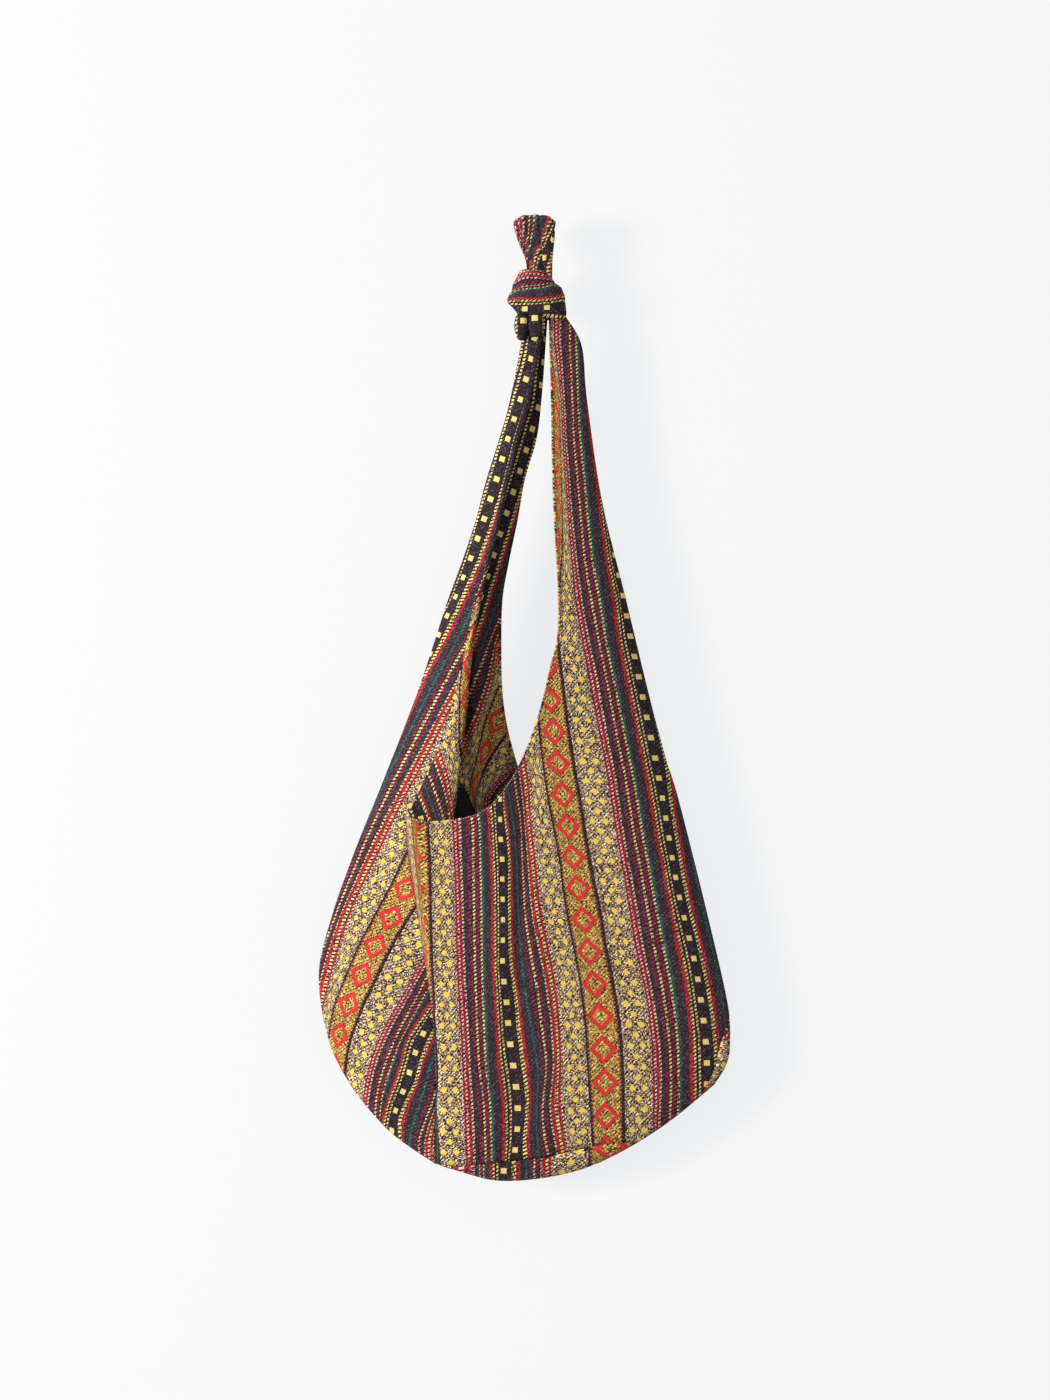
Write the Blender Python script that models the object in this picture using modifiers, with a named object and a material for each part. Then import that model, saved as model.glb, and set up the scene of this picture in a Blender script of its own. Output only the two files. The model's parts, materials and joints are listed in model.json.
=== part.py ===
"""A crossbody hobo bag of jacquard-striped cotton, hanging empty from the loop of its knotted strap.

Metres, +Z up. The origin is the hanging point, on the inside of the loop's top bend. The front of the bag
faces -Y. Each panel runs on into two wings, and the wings meet in the knot under the hanging loop.
"""

import math

import bmesh
import bpy

MM = 0.001
WELD = 0.01 * MM  # points this near each other are one

# Driving dimensions
BAG_WIDTH = 0.391  # across the body, from side seam to side seam
BAG_DROP = 0.912  # from the hanging point to the lowest point of the bottom seam
BELLY_FRONT = 0.042  # how far the front panel stands out before the side seams
BELLY_BACK = 0.024  # how far the back panel stands out behind them
WING_SWELL = 0.007  # how far each layer of a wing's top stands out from its folded outer edge
CLOTH = 0.0024  # front and back panels, each with the fold of its own hem
FACING = 0.0016  # the self-fabric facing inside the mouth
LINING = 0.0012  # the black lining
LAYER_GAP = 0.0003  # between two pieces that are sewn or lie together
PLEAT_STEP = 0.0052  # from one layer of the front panel's pleat to the next
PLEAT_FADE = 0.3  # share of the body's height over which the pleat runs out at the bottom seam
RIPPLE = 0.006  # height of the soft vertical folds under the mouth
CREASE = 0.007  # height of the facing's standing fold
LINING_INSET = 0.019  # from the side seams to the lining
LINING_FOOT = 0.0235  # from the bottom seam to the lining, along the belly
LINING_MARGIN = 0.0003  # between the lining and the panels around it
LINING_TOP = 545.0  # where the lining starts at the back, as a measured drop
LINING_REACH = 22.0  # how far the lining spans past a fold of the front panel, as a measured width
LINING_FRONT_LOWER = 50.0  # how much lower it starts behind the front panel's hem
KNOT_TOP = 0.046  # from the hanging point down to the top of the knot
KNOT_HEIGHT = 0.046
KNOT_WIDTH = 0.055
KNOT_DEPTH = 0.040
LOOP_GAP = 0.014  # between the loop's front and back legs
LOOP_WIDTH = 0.039  # across the loop where it bends over
LOOP_WAIST = 0.023  # across the loop where it enters the knot
LOOP_CLOTH = 0.005  # the folded strap, two layers thick

# The outlines below were measured on a bag of this width, and from this strap end down to this drop. They
# are in millimetres: distance below the hanging point, then distance right of it.
MEASURED_WIDTH = 391.0
MEASURED_TOP = 93.0
MEASURED_DROP = 912.0

LEFT_SEAM = [(93, -9), (171, -23), (266, -49), (361, -83), (446, -111), (529, -143), (598, -171), (663, -194),
             (719, -206), (784, -195), (831, -170)]
RIGHT_SEAM = [(93, 28), (120, 43), (171, 48), (266, 62), (361, 85), (456, 108), (516, 124)]
RIGHT_SEAM_LOW = [(516, 124), (551, 135), (646, 159), (741, 181), (779, 184), (801, 181), (821, 169)]
LEFT_BOTTOM = [(831, -170), (867, -137), (896, -96)]
BOTTOM_SEAM = [(831, -170), (867, -137), (895, -97), (905, -67), (912, -36), (910, 3), (901, 44), (884, 82),
               (857, 125), (821, 169)]

VALLEY_FOLD = [(93, 9), (171, 0), (266, -19), (361, -50), (409, -60), (450, -64), (510, -70), (566, -77),
               (650, -83), (740, -88), (820, -94), (896, -96)]
LAPEL_HEM = [(93, 6), (171, -3), (266, -22), (361, -54), (409, -66), (450, -76), (484, -83), (518, -98),
             (551, -113), (566, -120.5)]
MOUNTAIN_FOLD = [(566, -120.5), (600, -117), (650, -108), (702, -100), (745, -97), (784, -95), (840, -93),
                 (897, -90)]
MOUTH_HEM = [(566, -120.5), (571, -100), (566, -63), (553, -40), (525, -19)]
WING_HEM = [(93, 13), (171, 15), (266, 17), (380, 22), (430, 13), (467, 4), (504, -9), (525, -19)]
FRONT_BOTTOM = [(897, -90), (905, -67), (912, -36), (910, 3), (901, 44), (884, 82), (857, 125), (821, 169)]

BACK_LEFT_HEM = [(93, 10), (171, 7), (266, -14), (361, -33), (409, -34), (449, -33), (484, -28), (518, -19)]
BACK_MOUTH_HEM = [(518, -19), (541, -5), (518, 10)]
BACK_RIGHT_HEM = [(93, 16), (218, 20), (323, 23), (399, 26), (467, 21), (518, 10)]

FACING_SEAM = [(361, -78), (446, -104), (529, -132), (541, -136)]
FACING_HEM = [(361, -34), (409, -36), (449, -35), (484, -30), (518, -21.5), (528, -17)]
FACING_FOOT = [(541, -136), (543, -77), (541, -45), (528, -17)]

# The knot's level sections: share of its height, then the section's middle and half width in shares of half
# the knot's width
KNOT_SECTIONS = [(0.0, 0.12, 0.42), (0.14, 0.06, 0.78), (0.34, 0.0, 0.95), (0.56, 0.0, 1.0),
                 (0.78, 0.1, 0.92), (0.92, 0.16, 0.84), (1.0, 0.16, 0.72)]
LOOP_LEAN = 0.0028  # how far the loop's waist lies right of its bend
LOOP_DROOP = 0.006  # how far the strap's edges hang down beside the hook

# The strap's turn under the knot's left side, beside the left wing and over the front of it. Each has its
# middle, then its half sizes, in shares of the knot's width, depth and height; places are from its lower end.
TURNS = {"turn beside the wing": ((-0.287, -0.2, -0.15), (0.082, 0.3, 0.3)),
         "turn over the wing": ((-0.1, -0.475, -0.12), (0.25, 0.085, 0.35))}
LOOP_SUNK = 0.3  # share of the knot's height that the loop's legs run on into it
LOOP_PINCH = 0.3  # how much nearer to each other the legs lie at the knot
LOOP_CURL = 0.12  # how far the legs' edges curl in there

# How the cloth swells between its seams
SEAM_STEEPNESS = 0.75  # below 1 a puffed layer leaves its seam steeply
SEAM_ROUNDING = 0.6  # the same for the belly at the right side seam and the bottom seam
ACROSS_FULLNESS = 2.2  # the higher, the nearer to the side seam the belly stays full
DROP_FULLNESS = 2.4  # the higher, the nearer to the bottom seam it stays full
BELLY_LEFT = 0.72 * BELLY_FRONT  # how far the cloth left of the pleat stands out
BACK_SLOPE = 0.42  # share of its width over which the back panel rises from each seam
WING_GROWTH = 1.6  # above 1 a wing swells mostly near the mouth
PLEATED_COLUMNS = 3  # columns beside the mountain fold that lie over the pleat
RIPPLE_WAVES = 1.9  # soft folds across the front, from the pleat to the side seam
RIPPLE_START = 0.1  # where in a wave the first begins
RIPPLE_DECAY = 3.2  # how fast they die out to the right
RIPPLE_REACH = 0.67  # share of the body's height that they run down
CREASE_PLACE = 0.62  # share of the facing's width at which its fold stands
CREASE_WIDTH = 0.13

# Grid counts
WING_ROWS = 12
BODY_ROWS = 14
LEFT_COLUMNS = 7
LAPEL_COLUMNS = 4
MOUTH_COLUMNS = 8
RIGHT_COLUMNS = 9
BACK_COLUMNS = 7
BACK_MOUTH_COLUMNS = 3
FACING_COLUMNS = 12
FACING_ROWS = 10
LINING_COLUMNS = 12
LINING_ROWS = 9
LOOP_COLUMNS = 8
LOOP_ROWS = 20
KNOT_POINTS = 32


def strap_end():
    """Height at which the wings leave the knot."""
    return -(KNOT_TOP + KNOT_HEIGHT) - LAYER_GAP


def place(drop, across):
    """A measured outline point as a point of this bag, in metres: (x, z)."""
    share = (drop - MEASURED_TOP) / (MEASURED_DROP - MEASURED_TOP)
    return across * BAG_WIDTH / MEASURED_WIDTH, strap_end() + share * (-BAG_DROP - strap_end())


def along(points, count):
    """count + 1 points evenly along a smooth curve through the outline points."""
    fine = []
    ends = [points[0]] + list(points) + [points[-1]]
    for a, b, c, d in zip(ends, ends[1:], ends[2:], ends[3:]):
        for step in range(12):
            t = step / 12
            fine.append(tuple(0.5 * (2 * q + (r - p) * t + (2 * p - 5 * q + 4 * r - s) * t * t
                                     + (3 * q - p - 3 * r + s) * t ** 3) for p, q, r, s in zip(a, b, c, d)))
    fine.append(tuple(float(value) for value in points[-1]))
    lengths = [0.0]
    for p, q in zip(fine, fine[1:]):
        lengths.append(lengths[-1] + math.dist(p, q))
    found, at = [], 0
    for index in range(count + 1):
        target = lengths[-1] * index / count
        while at < len(fine) - 2 and lengths[at + 1] < target:
            at += 1
        t = (target - lengths[at]) / max(lengths[at + 1] - lengths[at], 1e-9)
        found.append(tuple(p + (q - p) * t for p, q in zip(fine[at], fine[at + 1])))
    return found


def patch(left, right, top, bottom):
    """Rows of points between four outlines, each a list of (drop, across), as a blend of the four sides."""
    rows, columns = len(left) - 1, len(top) - 1
    grid = []
    for j in range(rows + 1):
        t = j / rows
        row = []
        for i in range(columns + 1):
            s = i / columns
            row.append(tuple((1 - s) * left[j][k] + s * right[j][k] + (1 - t) * top[i][k] + t * bottom[i][k]
                             - (1 - s) * (1 - t) * left[0][k] - s * (1 - t) * right[0][k]
                             - (1 - s) * t * left[rows][k] - s * t * right[rows][k] for k in (0, 1)))
        grid.append(row)
    return grid


def rise(share):
    """Depth of a puffed layer at a share of the way in from its seam: steep at the seam, level at 1."""
    return math.sin(math.pi / 2 * min(max(share, 0), 1)) ** SEAM_STEEPNESS


def fade(share):
    """1 down to 0 towards the bottom seam."""
    return max(1 - share ** DROP_FULLNESS, 0) ** SEAM_ROUNDING


def vertex(point, depth):
    """A cloth point: measured outline point and its depth towards the back, in metres."""
    x, z = place(*point)
    return x, depth, z


def seam_depth(cloth):
    """From the seam's mid-plane to the middle of a panel's cloth, where front and back panel are sewn."""
    return (cloth + LAYER_GAP) / 2


def mesh_object(name, rows, thickness, colour, offset=0.0):
    """Grids of points as one open sheet, welded where they meet, with its thickness from Solidify."""
    mesh = bpy.data.meshes.new(name)
    sheet = bmesh.new()
    for grid in rows:
        made = [[sheet.verts.new(point) for point in row] for row in grid]
        for upper, lower in zip(made, made[1:]):
            for a, b, c, d in zip(upper, upper[1:], lower[1:], lower):
                sheet.faces.new((d, c, b, a))
    bmesh.ops.remove_doubles(sheet, verts=sheet.verts, dist=WELD)
    bmesh.ops.recalc_face_normals(sheet, faces=sheet.faces)
    sheet.to_mesh(mesh)
    sheet.free()
    mesh.shade_smooth()
    item = bpy.data.objects.new(name, mesh)
    bag.objects.link(item)
    solidify = item.modifiers.new("cloth thickness", "SOLIDIFY")
    solidify.thickness = thickness
    solidify.offset = offset
    item.data.materials.append(colour)
    return item


def cloth_material(name, colour, roughness):
    material = bpy.data.materials.new(name)
    material.use_nodes = True
    shader = material.node_tree.nodes["Principled BSDF"]
    shader.inputs["Base Color"].default_value = (*colour, 1)
    shader.inputs["Roughness"].default_value = roughness
    return material


def front_depth(s, t):
    """Depth of the front panel's right part, from the pleat (s = 0) to the side seam, mouth to bottom (t)."""
    puffed = BELLY_FRONT * max(1 - s ** ACROSS_FULLNESS, 0) ** SEAM_ROUNDING * fade(t)
    wave = math.sin(2 * math.pi * (RIPPLE_WAVES * s + RIPPLE_START)) * math.exp(-RIPPLE_DECAY * s)
    ripple = RIPPLE * wave * max(1 - t / RIPPLE_REACH, 0)
    return -(seam_depth(CLOTH) + puffed - ripple)


def pleat_lift(t):
    """How far each layer of the pleat stands before the one behind it; it fades into the bottom seam."""
    left = min(max((1 - t) / PLEAT_FADE, 0), 1)
    return PLEAT_STEP * left * left * (3 - 2 * left)


def front_panel():
    """The front: left wing and side, the pleat whose inner face shows as a lapel, body and right wing."""
    rows = WING_ROWS + BODY_ROWS
    outer = along(LEFT_SEAM, rows)
    valley = along(VALLEY_FOLD, rows)
    free = along(LAPEL_HEM, WING_ROWS) + along(MOUNTAIN_FOLD, BODY_ROWS)[1:]
    side = patch(outer, valley, along([outer[0], valley[0]], LEFT_COLUMNS),
                 along(LEFT_BOTTOM, LEFT_COLUMNS))
    lapel = patch(valley, free, along([valley[0], free[0]], LAPEL_COLUMNS),
                  along([valley[-1], free[-1]], LAPEL_COLUMNS))
    mouth = along(MOUTH_HEM, MOUTH_COLUMNS)
    base = along([MOUTH_HEM[-1], RIGHT_SEAM[-1]], RIGHT_COLUMNS)
    columns = MOUTH_COLUMNS + RIGHT_COLUMNS
    body = patch(free[WING_ROWS:], along(RIGHT_SEAM_LOW, BODY_ROWS), mouth + base[1:],
                 along(FRONT_BOTTOM, columns))
    wing = patch(along(WING_HEM, WING_ROWS), along(RIGHT_SEAM, WING_ROWS),
                 along([WING_HEM[0], RIGHT_SEAM[0]], RIGHT_COLUMNS), base)

    def side_swell(j):
        if j <= WING_ROWS:
            share = j / WING_ROWS
            return WING_SWELL + (BELLY_LEFT - WING_SWELL) * share ** WING_GROWTH
        return BELLY_LEFT * fade((j - WING_ROWS) / BODY_ROWS)

    def low_share(j):
        return max((j - WING_ROWS) / BODY_ROWS, 0)

    side_grid = [[vertex(point, -(seam_depth(CLOTH) + side_swell(j) * rise(i / LEFT_COLUMNS)))
                  for i, point in enumerate(row)] for j, row in enumerate(side)]
    lapel_grid = []
    for j, row in enumerate(lapel):
        made = []
        for i, point in enumerate(row):
            share = i / LAPEL_COLUMNS
            lift = pleat_lift(low_share(j)) * rise(2 * share)
            made.append(vertex(point, -(seam_depth(CLOTH) + side_swell(j) + lift)))
        lapel_grid.append(made)
    body_grid = []
    for j, row in enumerate(body):
        t = j / BODY_ROWS
        edge = lapel_grid[WING_ROWS + j][-1][1]
        made = []
        for i, point in enumerate(row):
            s = i / columns
            over = front_depth(s, t)
            if i <= PLEATED_COLUMNS:
                over = min(over, edge - pleat_lift(t))
            made.append(vertex(point, over if i else edge))
        body_grid.append(made)
    wing_grid = []
    for j, row in enumerate(wing):
        share = (j / WING_ROWS) ** WING_GROWTH
        made = []
        for i, point in enumerate(row):
            s = i / RIGHT_COLUMNS
            top = -(seam_depth(CLOTH) + WING_SWELL * rise(1 - s))
            made.append(vertex(point, top + (front_depth((MOUTH_COLUMNS + i) / columns, 0) - top) * share))
        wing_grid.append(made)
    return mesh_object("front_panel", [side_grid, lapel_grid, body_grid, wing_grid], CLOTH, striped)


def back_depth(s, t):
    """Depth of the back panel from the left seam (s = 0) to the right one, mouth to bottom."""
    return seam_depth(CLOTH) + BELLY_BACK * rise(s / BACK_SLOPE) * rise((1 - s) / BACK_SLOPE) * fade(t)


def back_panel():
    left_seam = along(LEFT_SEAM, WING_ROWS + BODY_ROWS)
    base_left = along([left_seam[WING_ROWS], BACK_LEFT_HEM[-1]], BACK_COLUMNS)
    base_right = along([BACK_RIGHT_HEM[-1], RIGHT_SEAM[-1]], BACK_COLUMNS)
    middle = along(BACK_MOUTH_HEM, BACK_MOUTH_COLUMNS)
    top = base_left + middle[1:] + base_right[1:]
    columns = len(top) - 1
    body = patch(left_seam[WING_ROWS:], along(RIGHT_SEAM_LOW, BODY_ROWS), top, along(BOTTOM_SEAM, columns))
    left = patch(left_seam[:WING_ROWS + 1], along(BACK_LEFT_HEM, WING_ROWS),
                 along([left_seam[0], BACK_LEFT_HEM[0]], BACK_COLUMNS), base_left)
    right = patch(along(BACK_RIGHT_HEM, WING_ROWS), along(RIGHT_SEAM, WING_ROWS),
                  along([BACK_RIGHT_HEM[0], RIGHT_SEAM[0]], BACK_COLUMNS), base_right)

    def wing(grid, first, outer):
        made = []
        for j, row in enumerate(grid):
            share = (j / WING_ROWS) ** WING_GROWTH
            line = []
            for i, point in enumerate(row):
                top_depth = seam_depth(CLOTH) + WING_SWELL * rise(abs(i - outer) / BACK_COLUMNS)
                mouth_depth = back_depth((first + i) / columns, 0)
                line.append(vertex(point, top_depth + (mouth_depth - top_depth) * share))
            made.append(line)
        return made

    body_grid = [[vertex(point, back_depth(i / columns, j / BODY_ROWS)) for i, point in enumerate(row)]
                 for j, row in enumerate(body)]
    grids = [wing(left, 0, 0), body_grid, wing(right, BACK_COLUMNS + BACK_MOUTH_COLUMNS, BACK_COLUMNS)]
    return mesh_object("back_panel", grids, CLOTH, striped)


def depth_at(item, point, towards):
    """Depth at which a line from the middle plane towards the back (1) or the front (-1) meets a sheet."""
    x, z = place(*point)
    hit, found, _, _ = item.ray_cast((x, 0, z), (0, towards, 0))
    if not hit:
        raise ValueError(f"{item.name} has no cloth at {point}")
    return found.y


def least_depth(item, point, towards, reach):
    """The least of the depths around a point, so that a sheet laid there spans the pleat and the folds."""
    found = []
    for drop_step in (-0.5, 0, 0.5):
        for across_step in (-1, -0.5, 0, 0.5, 1):
            x, z = place(point[0] + drop_step * reach, point[1] + across_step * reach)
            hit, met, _, _ = item.ray_cast((x, 0, z), (0, towards, 0))
            if hit:
                found.append(abs(met.y))
    return towards * min(found)


def facing(back):
    """The self-fabric facing that shows inside the mouth, sewn to the back panel, with one standing fold."""
    outer, inner = along(FACING_SEAM, FACING_ROWS), along(FACING_HEM, FACING_ROWS)
    grid = patch(outer, inner, along([outer[0], inner[0]], FACING_COLUMNS),
                 along(FACING_FOOT, FACING_COLUMNS))
    lies = CLOTH / 2 + FACING / 2 + 2 * LAYER_GAP
    rows = []
    for j, row in enumerate(grid):
        made = []
        for i, point in enumerate(row):
            off = (i / FACING_COLUMNS - CREASE_PLACE) / CREASE_WIDTH
            stands = CREASE * math.sin(math.pi * j / FACING_ROWS) * math.exp(-off ** 2)
            made.append(vertex(point, depth_at(back, point, 1) - lies - stands))
        rows.append(made)
    return mesh_object("mouth_facing", [rows], FACING, striped)


def lining(front, back):
    """The black lining: a pouch that hangs from the facing and is open at the top."""
    low_left = [point for point in along(LEFT_SEAM, 5 * LINING_COLUMNS) if point[0] > LINING_TOP]
    outer, inner = along(low_left, LINING_ROWS), along(RIGHT_SEAM_LOW[1:], LINING_ROWS)
    grid = patch(outer, inner, along([outer[0], inner[0]], LINING_COLUMNS),
                 along(BOTTOM_SEAM, LINING_COLUMNS))
    side = LINING_INSET / BAG_WIDTH
    foot = LINING_FOOT / (BAG_DROP - LINING_TOP * MM)
    clear = CLOTH / 2 + LINING / 2 + LINING_MARGIN

    def at(s, t):
        u, v = s * LINING_COLUMNS, t * LINING_ROWS
        i, j = min(int(u), LINING_COLUMNS - 1), min(int(v), LINING_ROWS - 1)
        u, v = u - i, v - j
        return tuple((1 - v) * ((1 - u) * grid[j][i][k] + u * grid[j][i + 1][k])
                     + v * ((1 - u) * grid[j + 1][i][k] + u * grid[j + 1][i + 1][k]) for k in (0, 1))

    rows = []
    for j in range(LINING_ROWS + 1):
        t = j / LINING_ROWS * (1 - foot)
        shares = [side + (1 - 2 * side) * i / LINING_COLUMNS for i in range(LINING_COLUMNS + 1)]
        ring = []
        for s in shares:
            drop, across = at(s, t)
            lower = LINING_FRONT_LOWER * (1 - j / LINING_ROWS) * rise(3 * s) * rise(3 * (1 - s))
            point = (drop + lower, across)
            ring.append(vertex(point, least_depth(front, point, -1, LINING_REACH) + clear))
        for s in reversed(shares):
            point = at(s, t)
            ring.append(vertex(point, depth_at(back, point, 1) - clear))
        rows.append(ring + ring[:1])
    half = LINING_COLUMNS + 1
    front_edge, back_edge = rows[-1][:half], rows[-1][half:2 * half][::-1]
    return mesh_object("lining", [rows, [front_edge, back_edge]], LINING, black_lining, -1)


def hanging_loop():
    """The strap over the hook: up the front, round the bend and down the back, wider at the bend."""
    radius = (LOOP_GAP + LOOP_CLOTH) / 2
    centre = -LOOP_GAP / 2
    foot = -KNOT_TOP - KNOT_HEIGHT * LOOP_SUNK
    leg = centre - foot
    length = 2 * leg + math.pi * radius
    rows = []
    for j in range(LOOP_ROWS + 1):
        run = length * j / LOOP_ROWS
        if run < leg:
            depth, z = -radius, foot + run
        elif run > length - leg:
            depth, z = radius, foot + length - run
        else:
            angle = (run - leg) / radius
            depth, z = -radius * math.cos(angle), centre + radius * math.sin(angle)
        down = min(max(-z / KNOT_TOP, 0), 1)
        narrow = down * down * (3 - 2 * down)
        half = (LOOP_WIDTH + (LOOP_WAIST - LOOP_WIDTH) * narrow) / 2
        depth *= 1 - LOOP_PINCH * narrow
        middle = LOOP_LEAN * narrow
        row = []
        for i in range(LOOP_COLUMNS + 1):
            side = 2 * i / LOOP_COLUMNS - 1
            curl = 1 + LOOP_CURL * narrow * math.cos(math.pi * side)
            row.append((middle + half * side, depth * curl, z - LOOP_DROOP * (1 - narrow) * side ** 4))
        rows.append(row)
    return mesh_object("knotted_strap", [rows], LOOP_CLOTH, striped)


def rings_object(name, rings):
    """A closed solid from level or upright rings of points, capped at both ends or run round into itself."""
    mesh = bpy.data.meshes.new(name)
    form = bmesh.new()
    made = [[form.verts.new(point) for point in ring] for ring in rings]
    for upper, lower in zip(made, made[1:]):
        for i in range(len(upper)):
            k = (i + 1) % len(upper)
            form.faces.new((upper[i], upper[k], lower[k], lower[i]))
    form.faces.new(made[0])
    form.faces.new(made[-1])
    bmesh.ops.recalc_face_normals(form, faces=form.faces)
    form.to_mesh(mesh)
    form.free()
    mesh.shade_smooth()
    item = bpy.data.objects.new(name, mesh)
    item.display_type = "WIRE"
    item.hide_render = True
    helpers.objects.link(item)
    return item


def knot_core():
    rings = []
    for share, middle, half in KNOT_SECTIONS:
        z = -KNOT_TOP - share * KNOT_HEIGHT
        turns = [2 * math.pi * i / KNOT_POINTS for i in range(KNOT_POINTS)]
        rings.append([(KNOT_WIDTH / 2 * (middle + half * math.cos(turn)),
                       KNOT_DEPTH / 2 * half * math.sin(turn), z) for turn in turns])
    return rings_object("knot core", rings)


def strap_turn(name):
    """A rounded body for one side of the strap's turn under the knot."""
    shares, half_shares = TURNS[name]
    spans = (KNOT_WIDTH, KNOT_DEPTH, KNOT_HEIGHT)
    middle = [share * span for share, span in zip(shares, spans)]
    middle[2] -= KNOT_TOP + KNOT_HEIGHT
    half_sizes = [share * span for share, span in zip(half_shares, spans)]
    mesh = bpy.data.meshes.new(name)
    form = bmesh.new()
    bmesh.ops.create_uvsphere(form, u_segments=20, v_segments=12, radius=1)
    bmesh.ops.scale(form, vec=half_sizes, verts=form.verts)
    bmesh.ops.translate(form, vec=middle, verts=form.verts)
    form.to_mesh(mesh)
    form.free()
    item = bpy.data.objects.new(name, mesh)
    item.display_type = "WIRE"
    item.hide_render = True
    helpers.objects.link(item)
    return item


def knot():
    """The knot under the loop, one piece with it: its rounded body and the strap's turn below it."""
    loop = hanging_loop()
    for helper in (knot_core(), *map(strap_turn, TURNS)):
        joined = loop.modifiers.new("joined with " + helper.name, "BOOLEAN")
        joined.operation = "UNION"
        joined.object = helper
    return loop


for item in list(bpy.data.objects):
    bpy.data.objects.remove(item, do_unlink=True)
bag = bpy.data.collections.new("crossbody_bag")
helpers = bpy.data.collections.new("helpers")
for collection in (bag, helpers):
    bpy.context.scene.collection.children.link(collection)
striped = cloth_material("striped_jacquard", (0.16, 0.09, 0.06), 0.85)
black_lining = cloth_material("black_lining", (0.012, 0.012, 0.014), 0.9)
front_sheet, back_sheet = front_panel(), back_panel()
solids = [front_sheet, back_sheet]
for sheet in solids:
    sheet.modifiers["cloth thickness"].show_viewport = False
bpy.context.view_layer.update()
facing(back_sheet)
lining(front_sheet, back_sheet)
for sheet in solids:
    sheet.modifiers["cloth thickness"].show_viewport = True
knot()
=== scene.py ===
"""Visual model of the crossbody bag: striped jacquard cloth hanging from the loop above its knot."""

import json
import math

import bmesh
import bpy
import numpy as np
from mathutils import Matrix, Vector
from mathutils.bvhtree import BVHTree

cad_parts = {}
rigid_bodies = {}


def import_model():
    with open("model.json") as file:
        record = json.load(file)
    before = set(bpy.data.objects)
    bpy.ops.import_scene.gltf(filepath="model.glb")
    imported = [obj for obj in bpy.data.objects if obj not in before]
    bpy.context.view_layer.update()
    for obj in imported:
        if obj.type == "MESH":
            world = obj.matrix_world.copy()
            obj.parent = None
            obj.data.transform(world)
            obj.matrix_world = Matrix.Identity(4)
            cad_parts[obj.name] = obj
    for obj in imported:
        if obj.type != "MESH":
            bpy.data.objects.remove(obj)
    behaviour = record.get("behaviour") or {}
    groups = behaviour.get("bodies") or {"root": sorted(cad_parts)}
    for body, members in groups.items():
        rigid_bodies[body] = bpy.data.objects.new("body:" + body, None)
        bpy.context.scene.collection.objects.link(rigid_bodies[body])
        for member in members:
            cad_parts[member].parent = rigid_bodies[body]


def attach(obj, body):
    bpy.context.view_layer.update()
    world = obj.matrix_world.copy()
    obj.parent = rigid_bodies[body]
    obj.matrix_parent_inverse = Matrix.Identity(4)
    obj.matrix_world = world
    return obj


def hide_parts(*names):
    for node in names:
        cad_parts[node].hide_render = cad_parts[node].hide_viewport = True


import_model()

bl_info = {
    "name": "Crossbody bag",
    "version": (1, 0, 0),
    "blender": (4, 5, 0),
    "location": "View3D > Sidebar > Bag",
    "description": "Builds the striped crossbody bag piece by piece",
    "category": "Add Mesh",
}

MM = 0.001

# Outlines of the cloth, measured from the hanging point: (millimetres below it, millimetres right of it)
LEFT_SEAM = [(93, -9), (171, -24), (209, -34.5), (247, -46.5), (285, -56.5), (323, -69), (361, -83),
             (446, -111), (529, -143), (598, -171), (663, -194), (719, -206), (784, -195), (831, -170)]
RIGHT_SEAM = [(93, 28), (120, 43), (171, 48), (266, 62), (361, 85), (456, 108), (516, 124)]
RIGHT_SEAM_LOW = [(516, 124), (551, 135), (646, 159), (741, 181), (779, 184), (801, 181), (821, 169)]
LEFT_BOTTOM = [(831, -170), (867, -137), (896, -96)]
BOTTOM_SEAM = [(831, -170), (867, -137), (895, -97), (905, -67), (912, -36), (910, 3), (901, 44), (884, 82),
               (857, 125), (821, 169)]

VALLEY_FOLD = [(93, 9), (171, -6), (204, -15), (247, -25.5), (285, -34), (323, -43), (361, -52), (409, -60),
               (450, -64), (510, -70), (566, -77), (650, -83), (740, -88), (820, -94), (896, -96)]
LAPEL_HEM = [(93, 6), (171, -9), (204, -18), (247, -28.5), (285, -37), (323, -47), (361, -57), (409, -66),
             (450, -76), (484, -83), (518, -98), (551, -113), (566, -120.5)]
MOUNTAIN_FOLD = [(566, -120.5), (583, -122), (608, -119), (646, -113), (670, -109), (694, -105),
                 (713, -102.3), (732, -99.5), (760, -96.5), (784, -95), (840, -93), (897, -90)]
MOUTH_HEM = [(566, -120.5), (571, -100), (566, -63), (553, -40), (525, -19)]
WING_HEM = [(93, 13), (171, 15), (266, 17), (380, 22), (430, 13), (467, 4), (504, -9), (525, -19)]
FRONT_BOTTOM = [(897, -90), (905, -67), (912, -36), (910, 3), (901, 44), (884, 82), (857, 125), (821, 169)]

BACK_LEFT_HEM = [(93, 10), (171, 4.2), (209, -0.8), (247, -11.8), (285, -18.5), (323, -26.5), (361, -33),
                 (409, -34), (449, -33), (484, -28), (518, -19)]
BACK_MOUTH_HEM = [(518, -19), (541, -5), (518, 10)]
BACK_RIGHT_HEM = [(93, 16), (218, 20), (323, 23), (399, 26), (467, 21), (518, 10)]

FACING_SEAM = [(361, -78), (446, -104), (529, -132), (541, -136)]
FACING_HEM = [(361, -34), (409, -36), (449, -35), (484, -30), (518, -21.5), (528, -17)]
FACING_FOOT = [(541, -136), (537, -100), (528, -80), (541, -68), (560, -59), (574, -53), (566, -36),
               (528, -17)]

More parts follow.
